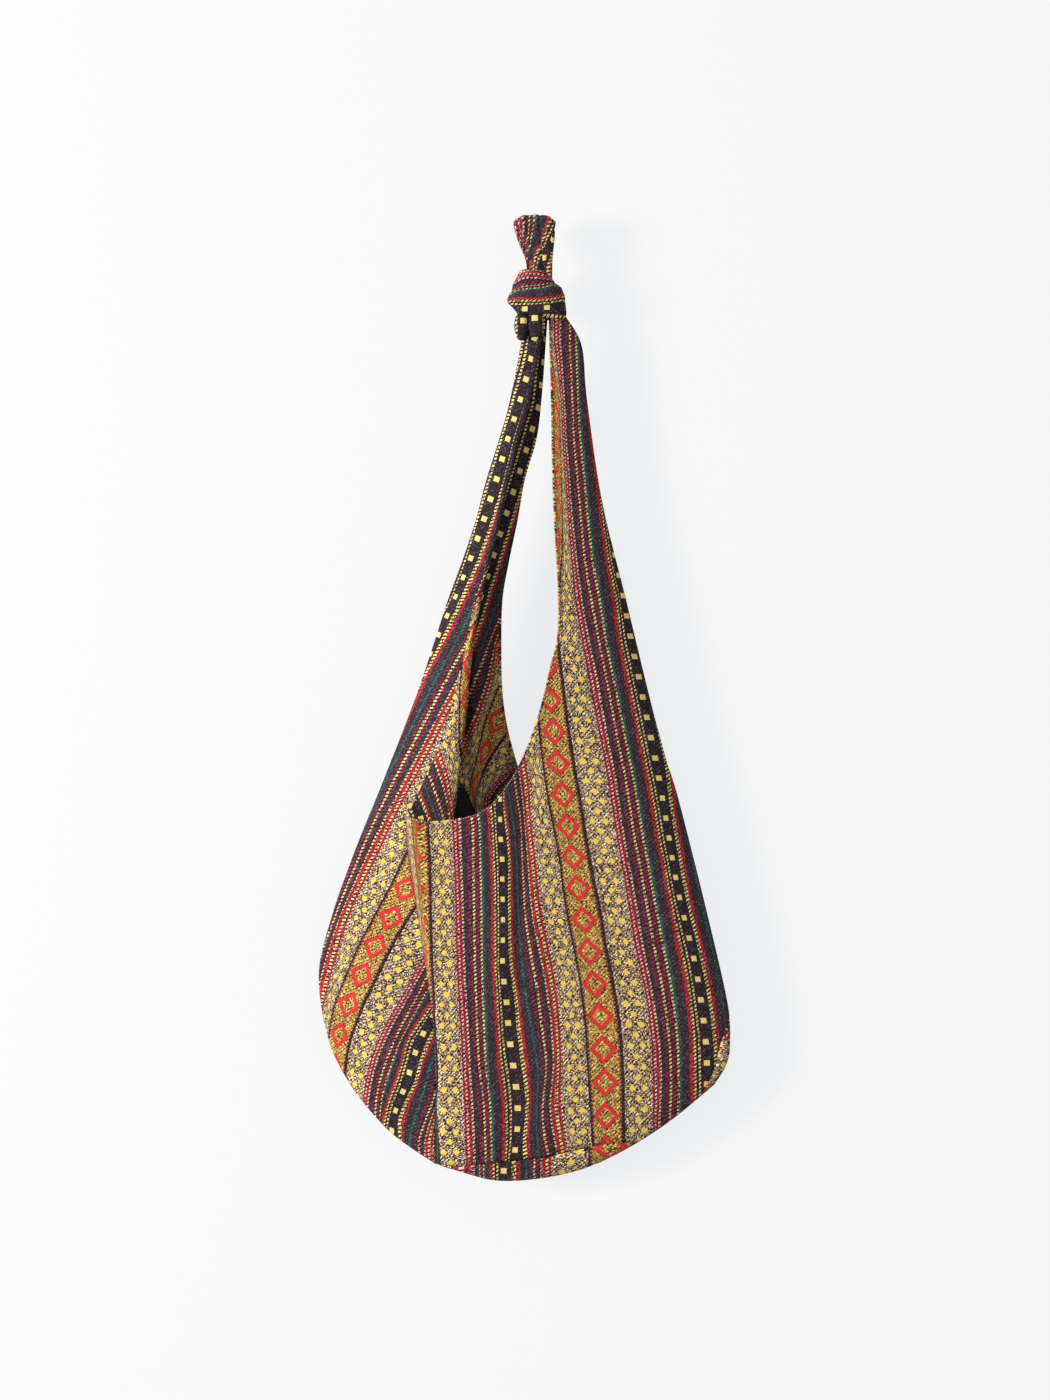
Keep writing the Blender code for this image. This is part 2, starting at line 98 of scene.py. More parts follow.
# Lines of the woven stripes on each part of the cloth: at the drops named, where each line runs, in
# millimetres right of the hanging point. The first number is the line's place in the weave, in millimetres.
FRONT_DROPS = [115, 173, 209, 247, 285, 323, 361, 399, 437, 475, 513, 532, 551, 570, 589, 608, 627, 646,
               665, 684, 703, 722, 741, 760, 779, 798, 817, 836, 855, 874, 893]
FRONT_STRIPES = [
    (-152.0, [-226.8, -212.5, -212.0, -210.1, -208.2, -215.4, -224.9, -235.3, -230.1, -225.2, -203.3,
        -184.7, -127.3, -124.4, -121.6, -118.8, -115.4, -113.0, -110.0, -107.0, -105.1, -104.3, -103.5,
        -103.5, -103.5, -103.5, -103.5, -103.5, -103.5, -103.5, -103.5]),
    (-120.6, [-195.4, -181.2, -180.7, -178.8, -176.9, -184.0, -193.5, -204.0, -198.7, -193.8, -171.9,
        -153.4, -119.7, -117.8, -115.9, -114.0, -111.6, -109.9, -107.6, -105.5, -104.1, -103.4, -102.6,
        -102.6, -102.6, -102.6, -102.6, -102.6, -102.6, -102.6, -102.6]),
    (-113.0, [-187.8, -173.6, -173.1, -171.2, -169.3, -176.4, -185.9, -196.4, -191.1, -186.2, -164.3,
        -145.8, -118.3, -116.4, -114.5, -112.8, -110.7, -109.2, -107.1, -105.1, -103.7, -103.0, -102.2,
        -102.2, -102.2, -102.2, -102.2, -102.2, -102.2, -102.2, -102.2]),
    (-96.9, [-171.7, -157.4, -156.9, -155.0, -153.1, -160.3, -169.8, -180.2, -175.0, -170.1, -148.2, -129.6,
        -115.9, -114.5, -113.0, -111.4, -109.5, -108.3, -106.4, -104.5, -103.2, -102.5, -101.7, -101.7,
        -101.7, -101.7, -101.7, -101.7, -101.7, -101.7, -101.7]),
    (-87.4, [-162.2, -147.9, -147.4, -145.5, -143.6, -150.8, -160.3, -170.7, -165.5, -160.6, -138.7, -120.1,
        -113.3, -112.6, -111.8, -110.2, -108.5, -107.3, -105.5, -103.8, -102.5, -101.9, -101.2, -101.2,
        -101.2, -101.2, -101.2, -101.2, -101.2, -101.2, -101.2]),
    (-84.1, [-158.8, -144.6, -144.1, -142.2, -140.3, -147.4, -156.9, -167.4, -162.2, -157.3, -135.4, -116.8,
        -105.0, -104.5, -104.0, -103.1, -102.6, -102.1, -101.5, -101.0, -100.3, -99.6, -98.8, -98.3, -97.8,
        -96.9, -97.1, -97.3, -97.5, -97.7, -97.8]),
    (-82.3, [-157.0, -142.8, -142.3, -140.4, -138.5, -145.6, -155.1, -165.6, -160.4, -155.5, -133.6, -115.0,
        -102.5, -102.3, -102.1, -101.4, -100.9, -100.4, -100.2, -99.9, -99.2, -98.0, -96.9, -96.2, -95.5,
        -93.6, -93.8, -95.0, -95.9, -97.3, -95.8]),
    (-79.8, [-154.6, -140.3, -139.8, -137.9, -136.0, -143.2, -152.7, -163.1, -157.9, -153.0, -131.1, -112.5,
        -100.6, -101.4, -100.2, -99.1, -98.8, -98.8, -98.1, -97.8, -97.2, -96.1, -95.5, -94.7, -93.8, -92.4,
        -92.8, -94.0, -95.0, -96.7, -94.8]),
    (-54.1, [-128.9, -114.7, -114.2, -112.3, -110.4, -117.5, -127.0, -137.5, -132.2, -127.3, -105.4, -86.9,
        -81.2, -80.3, -79.3, -78.4, -77.7, -77.0, -76.7, -76.5, -75.8, -75.0, -73.9, -72.7, -71.7, -70.8,
        -70.1, -69.3, -68.9, -68.4, -67.5]),
    (-43.7, [-118.5, -104.2, -103.7, -101.8, -99.9, -107.1, -116.6, -127.0, -121.8, -116.9, -95.0, -76.4,
        -72.2, -71.6, -70.9, -70.3, -69.6, -68.9, -68.4, -67.9, -67.2, -66.5, -65.3, -64.1, -63.3, -62.4,
        -61.1, -59.8, -59.1, -58.4, -57.9]),
    (-35.1, [-109.9, -95.7, -95.2, -93.3, -91.4, -98.5, -108.0, -118.5, -113.2, -108.3, -86.5, -67.9, -64.6,
        -59.6, -59.4, -59.1, -58.9, -58.6, -58.4, -58.2, -57.9, -57.2, -56.5, -55.8, -55.1, -54.3, -51.9,
        -49.4, -48.7, -48.0, -47.5]),
    (-28.0, [-102.8, -88.5, -88.1, -86.2, -84.3, -91.4, -100.9, -111.3, -106.1, -101.2, -79.3, -60.7, -58.2,
        -53.6, -53.2, -52.8, -52.4, -52.1, -51.9, -51.7, -51.5, -51.0, -50.5, -49.7, -49.0, -48.2, -46.2,
        -44.2, -43.7, -43.2, -42.8]),
    (-16.0, [-90.7, -76.5, -76.0, -74.1, -72.2, -79.3, -88.8, -99.3, -94.0, -89.2, -67.3, -48.7, -47.5,
        -44.7, -43.7, -42.7, -41.6, -41.5, -41.3, -41.3, -41.3, -40.1, -38.9, -38.0, -37.0, -36.4, -34.2,
        -31.3, -31.1, -30.9, -32.3]),
    (-9.5, [-84.3, -70.0, -69.5, -67.6, -65.7, -72.9, -82.4, -92.8, -87.6, -82.7, -60.8, -42.2, -41.7,
        -39.8, -38.9, -38.1, -37.2, -37.1, -37.0, -37.0, -37.0, -36.1, -35.1, -34.2, -33.2, -31.1, -28.2,
        -26.6, -26.4, -26.1, -27.5]),
    (0.0, [-74.8, -60.5, -60.0, -58.1, -56.2, -63.4, -72.9, -83.3, -78.1, -73.2, -51.3, -32.7, -33.2, -33.8,
        -33.7, -31.9, -32.3, -31.8, -31.3, -31.6, -32.6, -31.3, -28.4, -27.2, -25.2, -22.1, -19.7, -17.6,
        -17.2, -19.3, -22.8]),
    (8.5, [-66.2, -52.0, -51.5, -49.6, -47.7, -54.8, -64.3, -74.8, -69.5, -64.6, -42.8, -31.0, -31.3, -29.4,
        -26.6, -25.6, -25.9, -25.9, -25.8, -25.6, -24.2, -21.8, -19.0, -17.6, -15.2, -13.3, -10.0, -8.5,
        -10.0, -11.9, -10.4]),
    (20.4, [-54.3, -40.1, -39.6, -37.7, -35.8, -42.9, -52.4, -62.9, -57.7, -52.8, -30.9, -28.5, -26.1,
        -22.8, -20.9, -19.0, -18.5, -18.1, -17.1, -16.1, -15.2, -12.8, -10.4, -6.4, -3.8, 0.3, 0.9, 0.0,
        -0.9, 0.0, 2.8]),
    (30.4, [-44.4, -30.1, -29.6, -27.7, -25.8, -33.0, -42.5, -52.9, -47.7, -42.8, -23.8, -20.9, -18.1,
        -15.2, -14.5, -13.8, -12.8, -11.9, -10.4, -7.6, -4.8, -0.9, 1.9, 3.8, 6.6, 8.8, 7.6, 5.2, 5.2, 7.6,
        12.3]),
    (40.4, [-34.4, -20.1, -19.7, -17.8, -15.9, -23.0, -32.5, -42.9, -37.7, -32.8, -16.6, -14.2, -11.9,
        -10.4, -8.5, -6.6, -5.2, -3.8, -1.4, 3.3, 7.1, 10.4, 13.3, 15.7, 17.1, 18.1, 16.1, 14.2, 16.1, 19.9,
        22.8]),
    (48.0, [-26.8, -12.5, -12.1, -10.2, -8.3, -15.4, -24.9, -35.3, -30.1, -25.2, -8.1, -5.7, -4.3, -3.3,
        -1.4, 0.9, 2.8, 4.8, 7.6, 12.3, 16.1, 19.5, 21.8, 23.3, 24.2, 24.7, 24.2, 24.7, 26.6, 29.0, 31.3]),
    (74.8, [0.0, 14.2, 14.7, 16.6, 18.5, 11.4, 1.9, -8.5, -3.3, 1.6, 5.2, 7.6, 10.9, 14.7, 18.5, 22.3, 24.2,
        27.1, 30.4, 34.2, 38.0, 41.3, 43.7, 45.9, 47.3, 48.4, 49.4, 50.8, 52.2, 53.2, 55.1]),
    (90.2, [5.7, 18.3, 19.0, 20.4, 20.9, 19.5, 10.4, 6.6, 11.2, 15.1, 19.4, 22.7, 25.9, 28.7, 31.5, 34.4,
        37.2, 40.7, 44.3, 47.1, 50.1, 53.2, 57.4, 60.8, 62.3, 63.5, 64.6, 65.2, 65.7, 66.0, 66.5]),
    (106.4, [11.4, 22.0, 23.0, 23.8, 24.7, 24.2, 20.9, 19.9, 24.2, 28.5, 34.2, 37.5, 40.9, 43.7, 46.5, 49.9,
        53.7, 57.9, 61.3, 64.1, 67.9, 71.7, 75.0, 77.9, 79.8, 80.5, 81.7, 81.7, 82.2, 82.6, 83.6]),
    (133.5, [15.7, 23.0, 24.1, 26.6, 29.4, 32.3, 35.1, 41.8, 48.4, 55.6, 63.2, 66.5, 69.3, 72.7, 75.5, 78.8,
        82.2, 85.0, 88.3, 91.2, 95.5, 99.8, 103.5, 105.9, 107.8, 108.3, 109.2, 109.7, 109.2, 110.2, 111.1]),
    (143.4, [22.8, 26.6, 28.5, 31.3, 34.2, 38.0, 42.8, 49.4, 57.5, 64.1, 71.2, 75.0, 77.4, 80.3, 83.1, 86.5,
        90.2, 93.6, 96.9, 99.8, 103.5, 107.3, 110.7, 113.5, 116.2, 117.8, 118.3, 117.8, 116.8, 116.8,
        117.8]),
    (152.0, [31.3, 33.8, 35.1, 38.5, 41.8, 45.1, 51.3, 58.4, 66.0, 72.7, 80.1, 83.9, 86.7, 89.6, 92.4, 96.2,
        99.7, 103.0, 106.5, 109.6, 113.6, 117.4, 120.5, 123.1, 125.3, 126.4, 127.0, 126.6, 126.0, 126.0,
        126.6]),
    (159.1, [37.0, 38.9, 40.9, 44.6, 48.0, 51.8, 58.9, 64.6, 72.2, 79.9, 87.4, 91.2, 94.5, 97.3, 100.2,
        104.3, 107.5, 110.9, 114.5, 117.9, 121.9, 125.7, 128.6, 131.1, 132.9, 133.6, 134.2, 134.0, 133.6,
        133.6, 134.0]),
    (171.0, [47.5, 47.5, 51.3, 56.0, 60.3, 65.5, 72.2, 76.5, 84.1, 91.9, 99.6, 103.5, 107.3, 110.2, 113.0,
        117.8, 120.6, 124.0, 127.8, 131.6, 135.8, 139.7, 142.2, 144.4, 145.6, 145.6, 146.3, 146.3, 146.3,
        146.3, 146.3]),
    (177.7, [53.2, 53.2, 56.7, 60.4, 64.1, 69.3, 77.4, 81.6, 89.4, 97.1, 104.7, 108.5, 112.3, 115.3, 118.2,
        122.1, 125.3, 128.8, 133.0, 137.1, 141.5, 145.1, 147.7, 150.0, 151.7, 152.2, 152.6, 152.6, 152.6,
        152.6, 152.6]),
    (187.1, [61.8, 61.8, 63.3, 65.0, 67.9, 74.1, 81.7, 89.0, 97.0, 104.4, 111.9, 115.7, 119.3, 122.6, 125.6,
        128.3, 131.9, 135.6, 140.5, 145.0, 149.5, 152.9, 155.4, 158.0, 160.3, 161.6, 161.6, 161.5, 161.5,
        161.5, 161.5]),
    (195.7, [70.3, 70.3, 71.9, 73.6, 76.5, 82.6, 90.2, 97.5, 105.5, 113.0, 122.5, 124.4, 126.3, 129.2,
        132.5, 135.8, 138.7, 142.5, 146.8, 152.0, 156.3, 160.5, 163.9, 166.7, 168.6, 169.6, 170.0, 170.0,
        170.0, 170.0, 170.0]),
    (214.7, [89.3, 89.3, 90.9, 92.6, 95.5, 101.6, 109.2, 116.5, 124.5, 132.0, 140.1, 142.5, 144.9, 147.2,
        150.6, 153.9, 157.5, 161.0, 165.5, 170.0, 174.8, 178.6, 181.9, 185.2, 186.7, 188.1, 188.3, 188.5,
        188.7, 188.9, 189.0]),
]
LEFT_DROPS = [111, 132, 152, 173, 210, 247, 285, 323, 361, 399, 437, 475, 494, 513, 532, 551, 570, 589, 608,
              627, 646, 665, 684, 703, 722, 741, 760, 779, 798, 817, 836, 855, 874]
LEFT_STRIPES = [
    (-8.5, [-8.5, -11.9, -17.6, -23.3, -34.4, -45.5, -56.5, -67.1, -80.8, -102.7, -119.0, -135.4, -151.7,
        -160.7, -168.8, -176.8, -192.8, -202.0, -211.3, -220.6, -227.6, -234.7, -241.9, -248.8, -255.6,
        -262.5, -265.2, -268.1, -292.4, -301.5, -303.8, -310.7, -325.3]),
    (0.0, [-1.4, -3.8, -8.5, -14.2, -26.3, -36.5, -48.7, -62.4, -77.2, -93.3, -109.6, -126.0, -142.3,
        -151.3, -159.4, -167.4, -183.4, -192.6, -201.9, -211.2, -218.2, -225.3, -232.5, -239.4, -246.2,
        -253.1, -255.8, -258.7, -283.0, -292.1, -294.4, -301.3, -315.9]),
    (8.5, [6.6, 3.8, -2.4, -9.5, -20.7, -29.5, -40.8, -53.5, -70.8, -88.5, -108.3, -124.4, -132.9, -141.9,
        -150.0, -158.0, -174.0, -183.2, -192.5, -201.7, -208.8, -215.9, -223.1, -229.9, -236.8, -243.7,
        -246.4, -249.3, -273.6, -282.7, -285.0, -291.9, -306.5]),
    (11.9, [10.4, 7.6, 0.9, -6.2, -17.4, -27.1, -38.4, -50.3, -66.6, -84.6, -105.4, -122.3, -130.2, -138.2,
        -146.3, -154.4, -170.3, -179.6, -188.8, -198.1, -205.2, -212.3, -219.4, -226.3, -233.2, -240.1,
        -242.7, -245.6, -269.9, -279.1, -281.3, -288.3, -302.9]),
    (20.4, [19.9, 17.0, 9.0, 2.8, -8.1, -19.1, -30.7, -43.2, -56.9, -75.3, -96.1, -114.9, -124.4, -133.6,
        -143.0, -151.7, -160.9, -170.2, -179.4, -188.7, -195.7, -202.9, -210.0, -216.9, -223.8, -230.7,
        -233.3, -236.2, -260.5, -269.7, -271.9, -278.9, -293.5]),
    (30.4, [30.8, 28.0, 20.0, 13.8, 2.9, -8.1, -19.8, -34.2, -45.8, -64.6, -85.5, -105.2, -114.9, -125.2,
        -135.2, -144.2, -153.1, -161.5, -169.6, -176.7, -184.8, -191.9, -199.0, -205.9, -212.8, -219.7,
        -222.3, -225.2, -249.6, -258.7, -261.0, -267.9, -282.5]),
    (38.2, [39.4, 36.5, 28.6, 22.4, 11.4, 0.5, -11.2, -25.6, -34.0, -54.2, -74.5, -94.5, -104.1, -114.3,
        -124.5, -134.7, -144.6, -154.0, -162.5, -171.0, -179.5, -187.4, -194.2, -199.8, -205.0, -209.9,
        -213.8, -216.7, -241.0, -250.1, -252.4, -259.3, -273.9]),
    (40.4, [41.8, 38.9, 31.0, 24.8, 13.8, 2.9, -8.8, -23.2, -30.1, -51.0, -71.8, -92.3, -101.9, -111.4,
        -121.1, -131.1, -140.6, -150.6, -160.5, -169.1, -178.6, -186.2, -192.8, -198.1, -202.8, -207.1,
        -211.4, -214.3, -238.6, -247.7, -250.0, -256.9, -271.5]),
    (45.6, [47.5, 44.7, 36.7, 30.5, 19.6, 8.6, -3.1, -17.5, -23.4, -44.8, -66.2, -86.0, -95.5, -105.4,
        -115.6, -126.0, -135.4, -144.1, -152.9, -162.7, -171.5, -179.1, -185.2, -190.5, -195.7, -200.0,
        -204.2, -208.5, -232.8, -242.0, -244.2, -251.2, -265.8]),
    (75.0, [79.9, 77.1, 69.1, 62.9, 52.0, 41.0, 29.3, 14.9, 9.0, -12.4, -33.5, -53.9, -64.1, -74.3, -84.5,
        -95.1, -105.7, -116.3, -125.9, -134.6, -144.9, -155.3, -165.8, -174.3, -182.4, -190.5, -194.8,
        -197.6, -200.4, -209.6, -211.8, -218.8, -233.4]),
    (90.2, [96.7, 93.8, 85.8, 79.7, 68.7, 57.7, 46.1, 31.6, 25.7, 4.3, -18.5, -38.5, -48.4, -58.4, -68.4,
        -78.6, -88.9, -99.1, -109.4, -119.6, -128.8, -137.9, -148.7, -158.4, -167.4, -175.5, -183.0, -188.0,
        -190.6, -192.8, -195.1, -202.1, -216.6]),
    (106.4, [114.4, 111.6, 103.6, 97.4, 86.5, 75.5, 63.8, 49.4, 43.5, 22.1, -0.8, -20.7, -30.7, -41.0,
        -51.3, -61.6, -71.9, -82.2, -92.1, -101.5, -110.9, -122.8, -134.4, -143.9, -152.9, -162.3, -169.6,
        -176.7, -180.5, -181.8, -183.0, -184.3, -198.9]),
    (133.5, [144.2, 141.4, 133.4, 127.2, 116.2, 105.3, 93.6, 79.2, 73.3, 51.9, 29.0, 9.1, -0.9, -11.2,
        -21.5, -31.8, -42.1, -43.9, -55.1, -66.3, -77.5, -88.7, -99.9, -110.2, -119.7, -130.2, -141.5,
        -150.6, -157.7, -162.0, -165.3, -167.2, -169.1]),
    (143.4, [155.2, 152.3, 144.4, 138.2, 127.2, 116.2, 104.6, 90.2, 84.2, 62.8, 40.0, 20.0, 10.1, -0.2,
        -10.5, -20.9, -31.2, -35.4, -46.5, -57.7, -68.9, -80.1, -91.3, -102.4, -113.0, -123.0, -134.4,
        -143.4, -151.0, -155.8, -159.1, -160.5, -162.0]),
    (152.0, [164.6, 161.7, 153.8, 147.6, 136.6, 125.6, 114.0, 99.6, 93.7, 72.2, 49.4, 29.4, 19.5, 9.2, -1.1,
        -11.5, -21.8, -28.8, -39.9, -51.0, -62.1, -73.1, -84.2, -95.3, -106.4, -115.4, -125.9, -134.9,
        -142.5, -148.2, -152.0, -152.9, -153.9]),
    (159.1, [172.4, 169.6, 161.6, 155.4, 144.5, 133.5, 121.8, 107.4, 101.5, 80.1, 57.2, 37.3, 27.3, 17.0,
        6.7, -3.6, -13.9, -23.5, -34.2, -44.9, -55.6, -66.4, -77.1, -87.8, -98.5, -109.2, -118.8, -128.7,
        -136.3, -142.5, -146.8, -148.2, -149.6]),
    (171.0, [185.5, 182.6, 174.7, 168.5, 157.5, 146.5, 134.9, 120.5, 114.6, 93.1, 70.3, 50.3, 40.4, 30.1,
        19.8, 9.4, -0.9, -10.4, -21.1, -30.0, -41.8, -53.6, -65.4, -77.2, -89.0, -101.2, -114.2, -124.9,
        -127.9, -134.4, -142.0, -146.8, -148.2]),
    (177.7, [192.8, 190.0, 182.0, 175.8, 164.8, 153.9, 142.2, 127.8, 121.9, 100.5, 77.6, 57.7, 47.7, 37.4,
        27.1, 16.8, 6.4, -3.1, -13.8, -24.5, -36.1, -47.7, -59.3, -70.8, -82.4, -94.0, -107.4, -120.6,
        -124.5, -130.2, -137.8, -142.5, -143.4]),
    (187.1, [203.3, 200.4, 192.4, 186.2, 175.3, 164.3, 152.6, 138.2, 132.3, 110.9, 88.1, 68.1, 58.1, 47.8,
        37.5, 27.2, 16.9, 7.3, -3.4, -13.8, -26.6, -39.4, -52.3, -65.1, -77.9, -90.8, -102.2, -110.4,
        -117.5, -122.3, -129.8, -136.5, -138.0]),
    (195.7, [212.7, 209.8, 201.8, 195.7, 184.7, 173.7, 162.1, 147.6, 141.7, 120.3, 97.5, 77.5, 67.5, 57.2,
        46.9, 36.6, 26.3, 16.8, 6.0, -6.7, -19.0, -31.3, -43.5, -55.8, -68.0, -80.3, -92.5, -103.1, -109.6,
        -113.5, -124.0, -130.6, -129.0]),
    (207.8, [225.9, 223.1, 215.1, 208.9, 198.0, 187.0, 175.3, 160.9, 155.0, 133.6, 110.7, 90.8, 80.8, 70.5,
        60.2, 49.9, 39.6, 30.0, 19.3, 6.5, -5.7, -18.0, -32.3, -43.7, -55.1, -66.5, -77.9, -89.3, -100.7,
        -105.4, -110.9, -117.2, -121.6]),
    (217.5, [236.7, 233.8, 225.9, 219.7, 208.7, 197.7, 186.1, 171.7, 165.8, 144.4, 121.5, 101.6, 91.6, 81.3,
        71.0, 60.7, 50.3, 40.8, 30.1, 17.3, 5.0, -7.2, -23.4, -34.2, -45.0, -55.9, -66.7, -77.5, -88.3,
        -93.1, -97.8, -105.5, -112.2]),
    (228.0, [248.2, 245.3, 237.4, 231.2, 220.2, 209.2, 197.6, 183.2, 177.3, 155.8, 133.0, 113.0, 103.1,
        92.8, 82.5, 72.1, 61.8, 52.3, 41.6, 28.8, 16.5, 4.3, -13.7, -24.7, -35.7, -46.7, -57.8, -68.8,
        -79.8, -86.1, -92.5, -99.3, -104.5]),
    (235.6, [256.5, 253.7, 245.7, 239.5, 228.6, 217.6, 205.9, 191.5, 185.6, 164.2, 141.4, 121.4, 111.4,
        101.1, 90.8, 80.5, 70.2, 60.6, 49.9, 37.1, 24.9, 12.6, -5.9, -17.1, -28.3, -39.5, -50.7, -61.9,
        -73.1, -79.5, -85.8, -92.1, -96.6]),
]
LAPEL_DROPS = [115, 173, 266, 285, 323, 361, 399, 446, 494, 513, 532, 551, 570]
LAPEL_STRIPES = [
    (0.0, [-13.3, -24.7, -47.5, -52.2, -61.8, -72.2, -150.1, -148.2, -140.6, -131.8, -123.1, -114.5,
        -106.4]),
    (8.5, [-4.8, -16.1, -38.9, -43.7, -56.0, -66.5, -142.5, -140.6, -132.0, -124.0, -116.0, -108.0,
        -100.1]),
    (20.4, [7.1, -4.3, -27.1, -31.8, -47.5, -61.8, -131.1, -129.2, -121.6, -114.5, -107.3, -100.3, -93.4]),
    (30.4, [17.1, 5.7, -17.1, -21.8, -42.8, -57.5, -119.7, -117.8, -113.0, -106.5, -100.0, -93.4, -86.7]),
    (38.0, [24.7, 13.3, -9.5, -14.2, -38.9, -54.1, -100.7, -101.6, -102.6, -96.7, -89.6, -84.4, -82.1]),
    (40.4, [27.1, 15.7, -7.1, -11.9, -37.0, -52.7, -91.2, -95.0, -99.3, -93.8, -86.7, -82.3, -79.2]),
    (45.6, [32.3, 20.9, -1.9, -6.6, -34.2, -50.8, -76.0, -83.6, -93.1, -87.2, -81.3, -78.9, -76.9]),
    (75.0, [61.8, 50.3, 27.5, 22.8, -19.9, -45.6, -66.5, -72.2, -72.7, -70.6, -68.4, -66.2, -64.1]),
    (90.2, [77.0, 65.5, 42.8, 38.0, -11.4, -39.9, -59.8, -65.4, -63.5, -57.9, -56.2, -54.5, -52.8]),
]
BACK_LEFT_DROPS = [115, 173, 228, 285, 361, 399, 418, 437, 456, 475, 494, 513, 522, 532, 542, 551]
BACK_LEFT_STRIPES = [
    (0.0, [10.4, 4.3, -11.6, -29.8, -53.2, -65.1, -71.0, -77.0, -83.4, -89.8, -96.2, -102.6, -105.9, -109.1,
        -112.4, -115.6]),
    (11.9, [22.8, 13.3, -3.6, -20.2, -44.1, -55.1, -61.1, -67.1, -73.1, -80.4, -87.7, -95.0, -97.8, -100.6,
        -103.3, -106.1]),
    (30.4, [38.9, 31.3, 13.4, -4.8, -27.5, -44.2, -51.3, -58.9, -65.9, -72.2, -78.5, -84.9, -88.0, -91.2,
        -93.2, -95.2]),
    (38.9, [47.5, 39.9, 22.1, 3.7, -20.9, -38.5, -41.8, -46.1, -52.2, -58.9, -66.5, -73.1, -76.5, -79.8,
        -82.0, -84.2]),
    (45.6, [55.1, 47.5, 30.0, 11.8, -12.3, -34.2, -37.0, -40.9, -46.5, -53.2, -62.2, -69.1, -72.6, -76.0,
        -78.1, -80.1]),
    (74.1, [83.6, 72.2, 54.4, 36.0, 11.4, -15.2, -25.6, -34.2, -41.8, -49.4, -53.7, -57.0, -59.4, -61.8,
        -63.3, -64.8]),
    (90.2, [99.8, 87.4, 69.0, 50.0, 24.7, 1.9, -8.5, -19.0, -28.5, -36.6, -45.1, -51.8, -54.4, -57.0, -58.3,
        -59.5]),
    (105.0, [114.5, 103.5, 84.6, 65.1, 38.9, 17.1, 8.5, -0.9, -9.5, -19.0, -33.2, -47.0, -50.6, -54.1,
        -56.5, -58.9]),
    (133.5, [143.0, 129.2, 110.3, 90.7, 64.6, 46.4, 37.2, 28.1, 19.0, 6.6, -5.7, -17.1, -23.8, -38.0, -46.5,
        -51.3]),
    (152.0, [161.5, 146.3, 127.4, 107.8, 81.7, 63.5, 54.3, 45.2, 36.1, 23.8, 11.4, -1.9, -11.4, -23.8,
        -34.2, -40.9]),
]
BACK_WING_DROPS = [115, 173, 228, 285, 361, 437, 513, 551]
BACK_WING_STRIPES = [
    (0.0, [10.4, 4.3, -11.6, -29.8, -53.2, -77.0, -102.6, -115.6]),
    (11.9, [22.8, 13.3, -3.6, -20.2, -44.6, -69.8, -95.0, -106.9]),
    (30.4, [38.9, 31.3, 13.4, -4.8, -27.5, -54.9, -82.2, -92.9]),
    (45.6, [55.1, 47.5, 30.0, 11.8, -12.3, -42.3, -72.2, -81.7]),
    (74.1, [83.6, 72.2, 54.4, 36.0, 11.4, -20.9, -53.2, -61.9]),
    (90.2, [99.8, 87.4, 69.0, 50.0, 24.7, -8.8, -42.3, -50.8]),
    (106.4, [115.9, 103.5, 84.9, 65.6, 39.9, 4.3, -31.3, -39.8]),
    (133.5, [143.0, 129.2, 110.3, 90.7, 64.6, 25.6, -13.3, -20.4]),
    (152.0, [161.5, 146.3, 127.4, 107.8, 81.7, 40.4, -0.9, -9.4]),
]
BACK_DROPS = [115, 228, 361, 446, 513, 551, 646, 788, 893]
BACK_STRIPES = [
    (0.0, [-167.2, -169.7, -164.3, -80.3, -102.6, -115.6, -148.2, -198.1, -233.7]),
    (45.6, [-121.6, -124.1, -118.8, -45.6, -72.2, -81.7, -105.4, -152.5, -185.2]),
    (74.1, [-93.1, -95.6, -90.2, -24.7, -53.2, -61.9, -83.6, -129.2, -161.5]),
    (106.4, [-60.8, -63.3, -57.9, 0.0, -31.3, -39.8, -60.8, -99.3, -129.2]),
    (187.1, [19.9, 17.4, 22.8, 22.8, 22.8, 16.0, -0.9, -26.6, -31.3]),
    (277.4, [60.8, 98.8, 98.8, 94.5, 91.2, 87.9, 79.8, 70.3, 67.5]),
    (374.3, [108.3, 189.0, 189.0, 184.8, 181.4, 179.5, 174.8, 168.2, 165.3]),
]
STRIP_DROPS = [761, 784, 812, 836, 864, 912]
STRIP_STRIPES = [
    (133.0, [-81.7, -81.7, -81.7, -81.7, -81.7, -81.7]),
    (143.4, [-57.9, -57.9, -57.9, -57.9, -57.9, -57.9]),
    (171.0, [-43.7, -43.7, -43.7, -43.7, -43.7, -43.7]),
    (187.1, [-31.3, -31.3, -31.3, -31.3, -31.3, -31.3]),
    (201.4, [-15.2, -15.2, -15.2, -15.2, -15.2, -15.2]),
    (226.1, [4.8, 4.8, 4.8, 4.8, 4.8, 4.8]),
    (235.2, [16.1, 16.1, 16.1, 16.1, 16.1, 16.1]),
    (260.7, [49.4, 49.4, 49.4, 49.4, 49.4, 49.4]),
    (263.1, [51.3, 51.3, 51.3, 51.3, 51.3, 51.3]),
    (292.0, [158.7, 155.8, 152.9, 98.8, 91.2, 91.2]),
    (295.0, [160.5, 158.7, 154.8, 103.5, 93.1, 93.1]),
    (320.6, [163.4, 185.2, 187.1, 129.2, 125.4, 125.4]),
    (329.6, [176.7, 190.0, 193.8, 136.8, 136.8, 136.8]),
    (361.0, [189.0, 203.3, 212.8, 150.1, 155.8, 155.8]),
    (374.3, [203.3, 212.8, 222.3, 161.5, 167.2, 167.2]),
]
LOOP_DROPS = [-6, 0, 19, 38, 52]
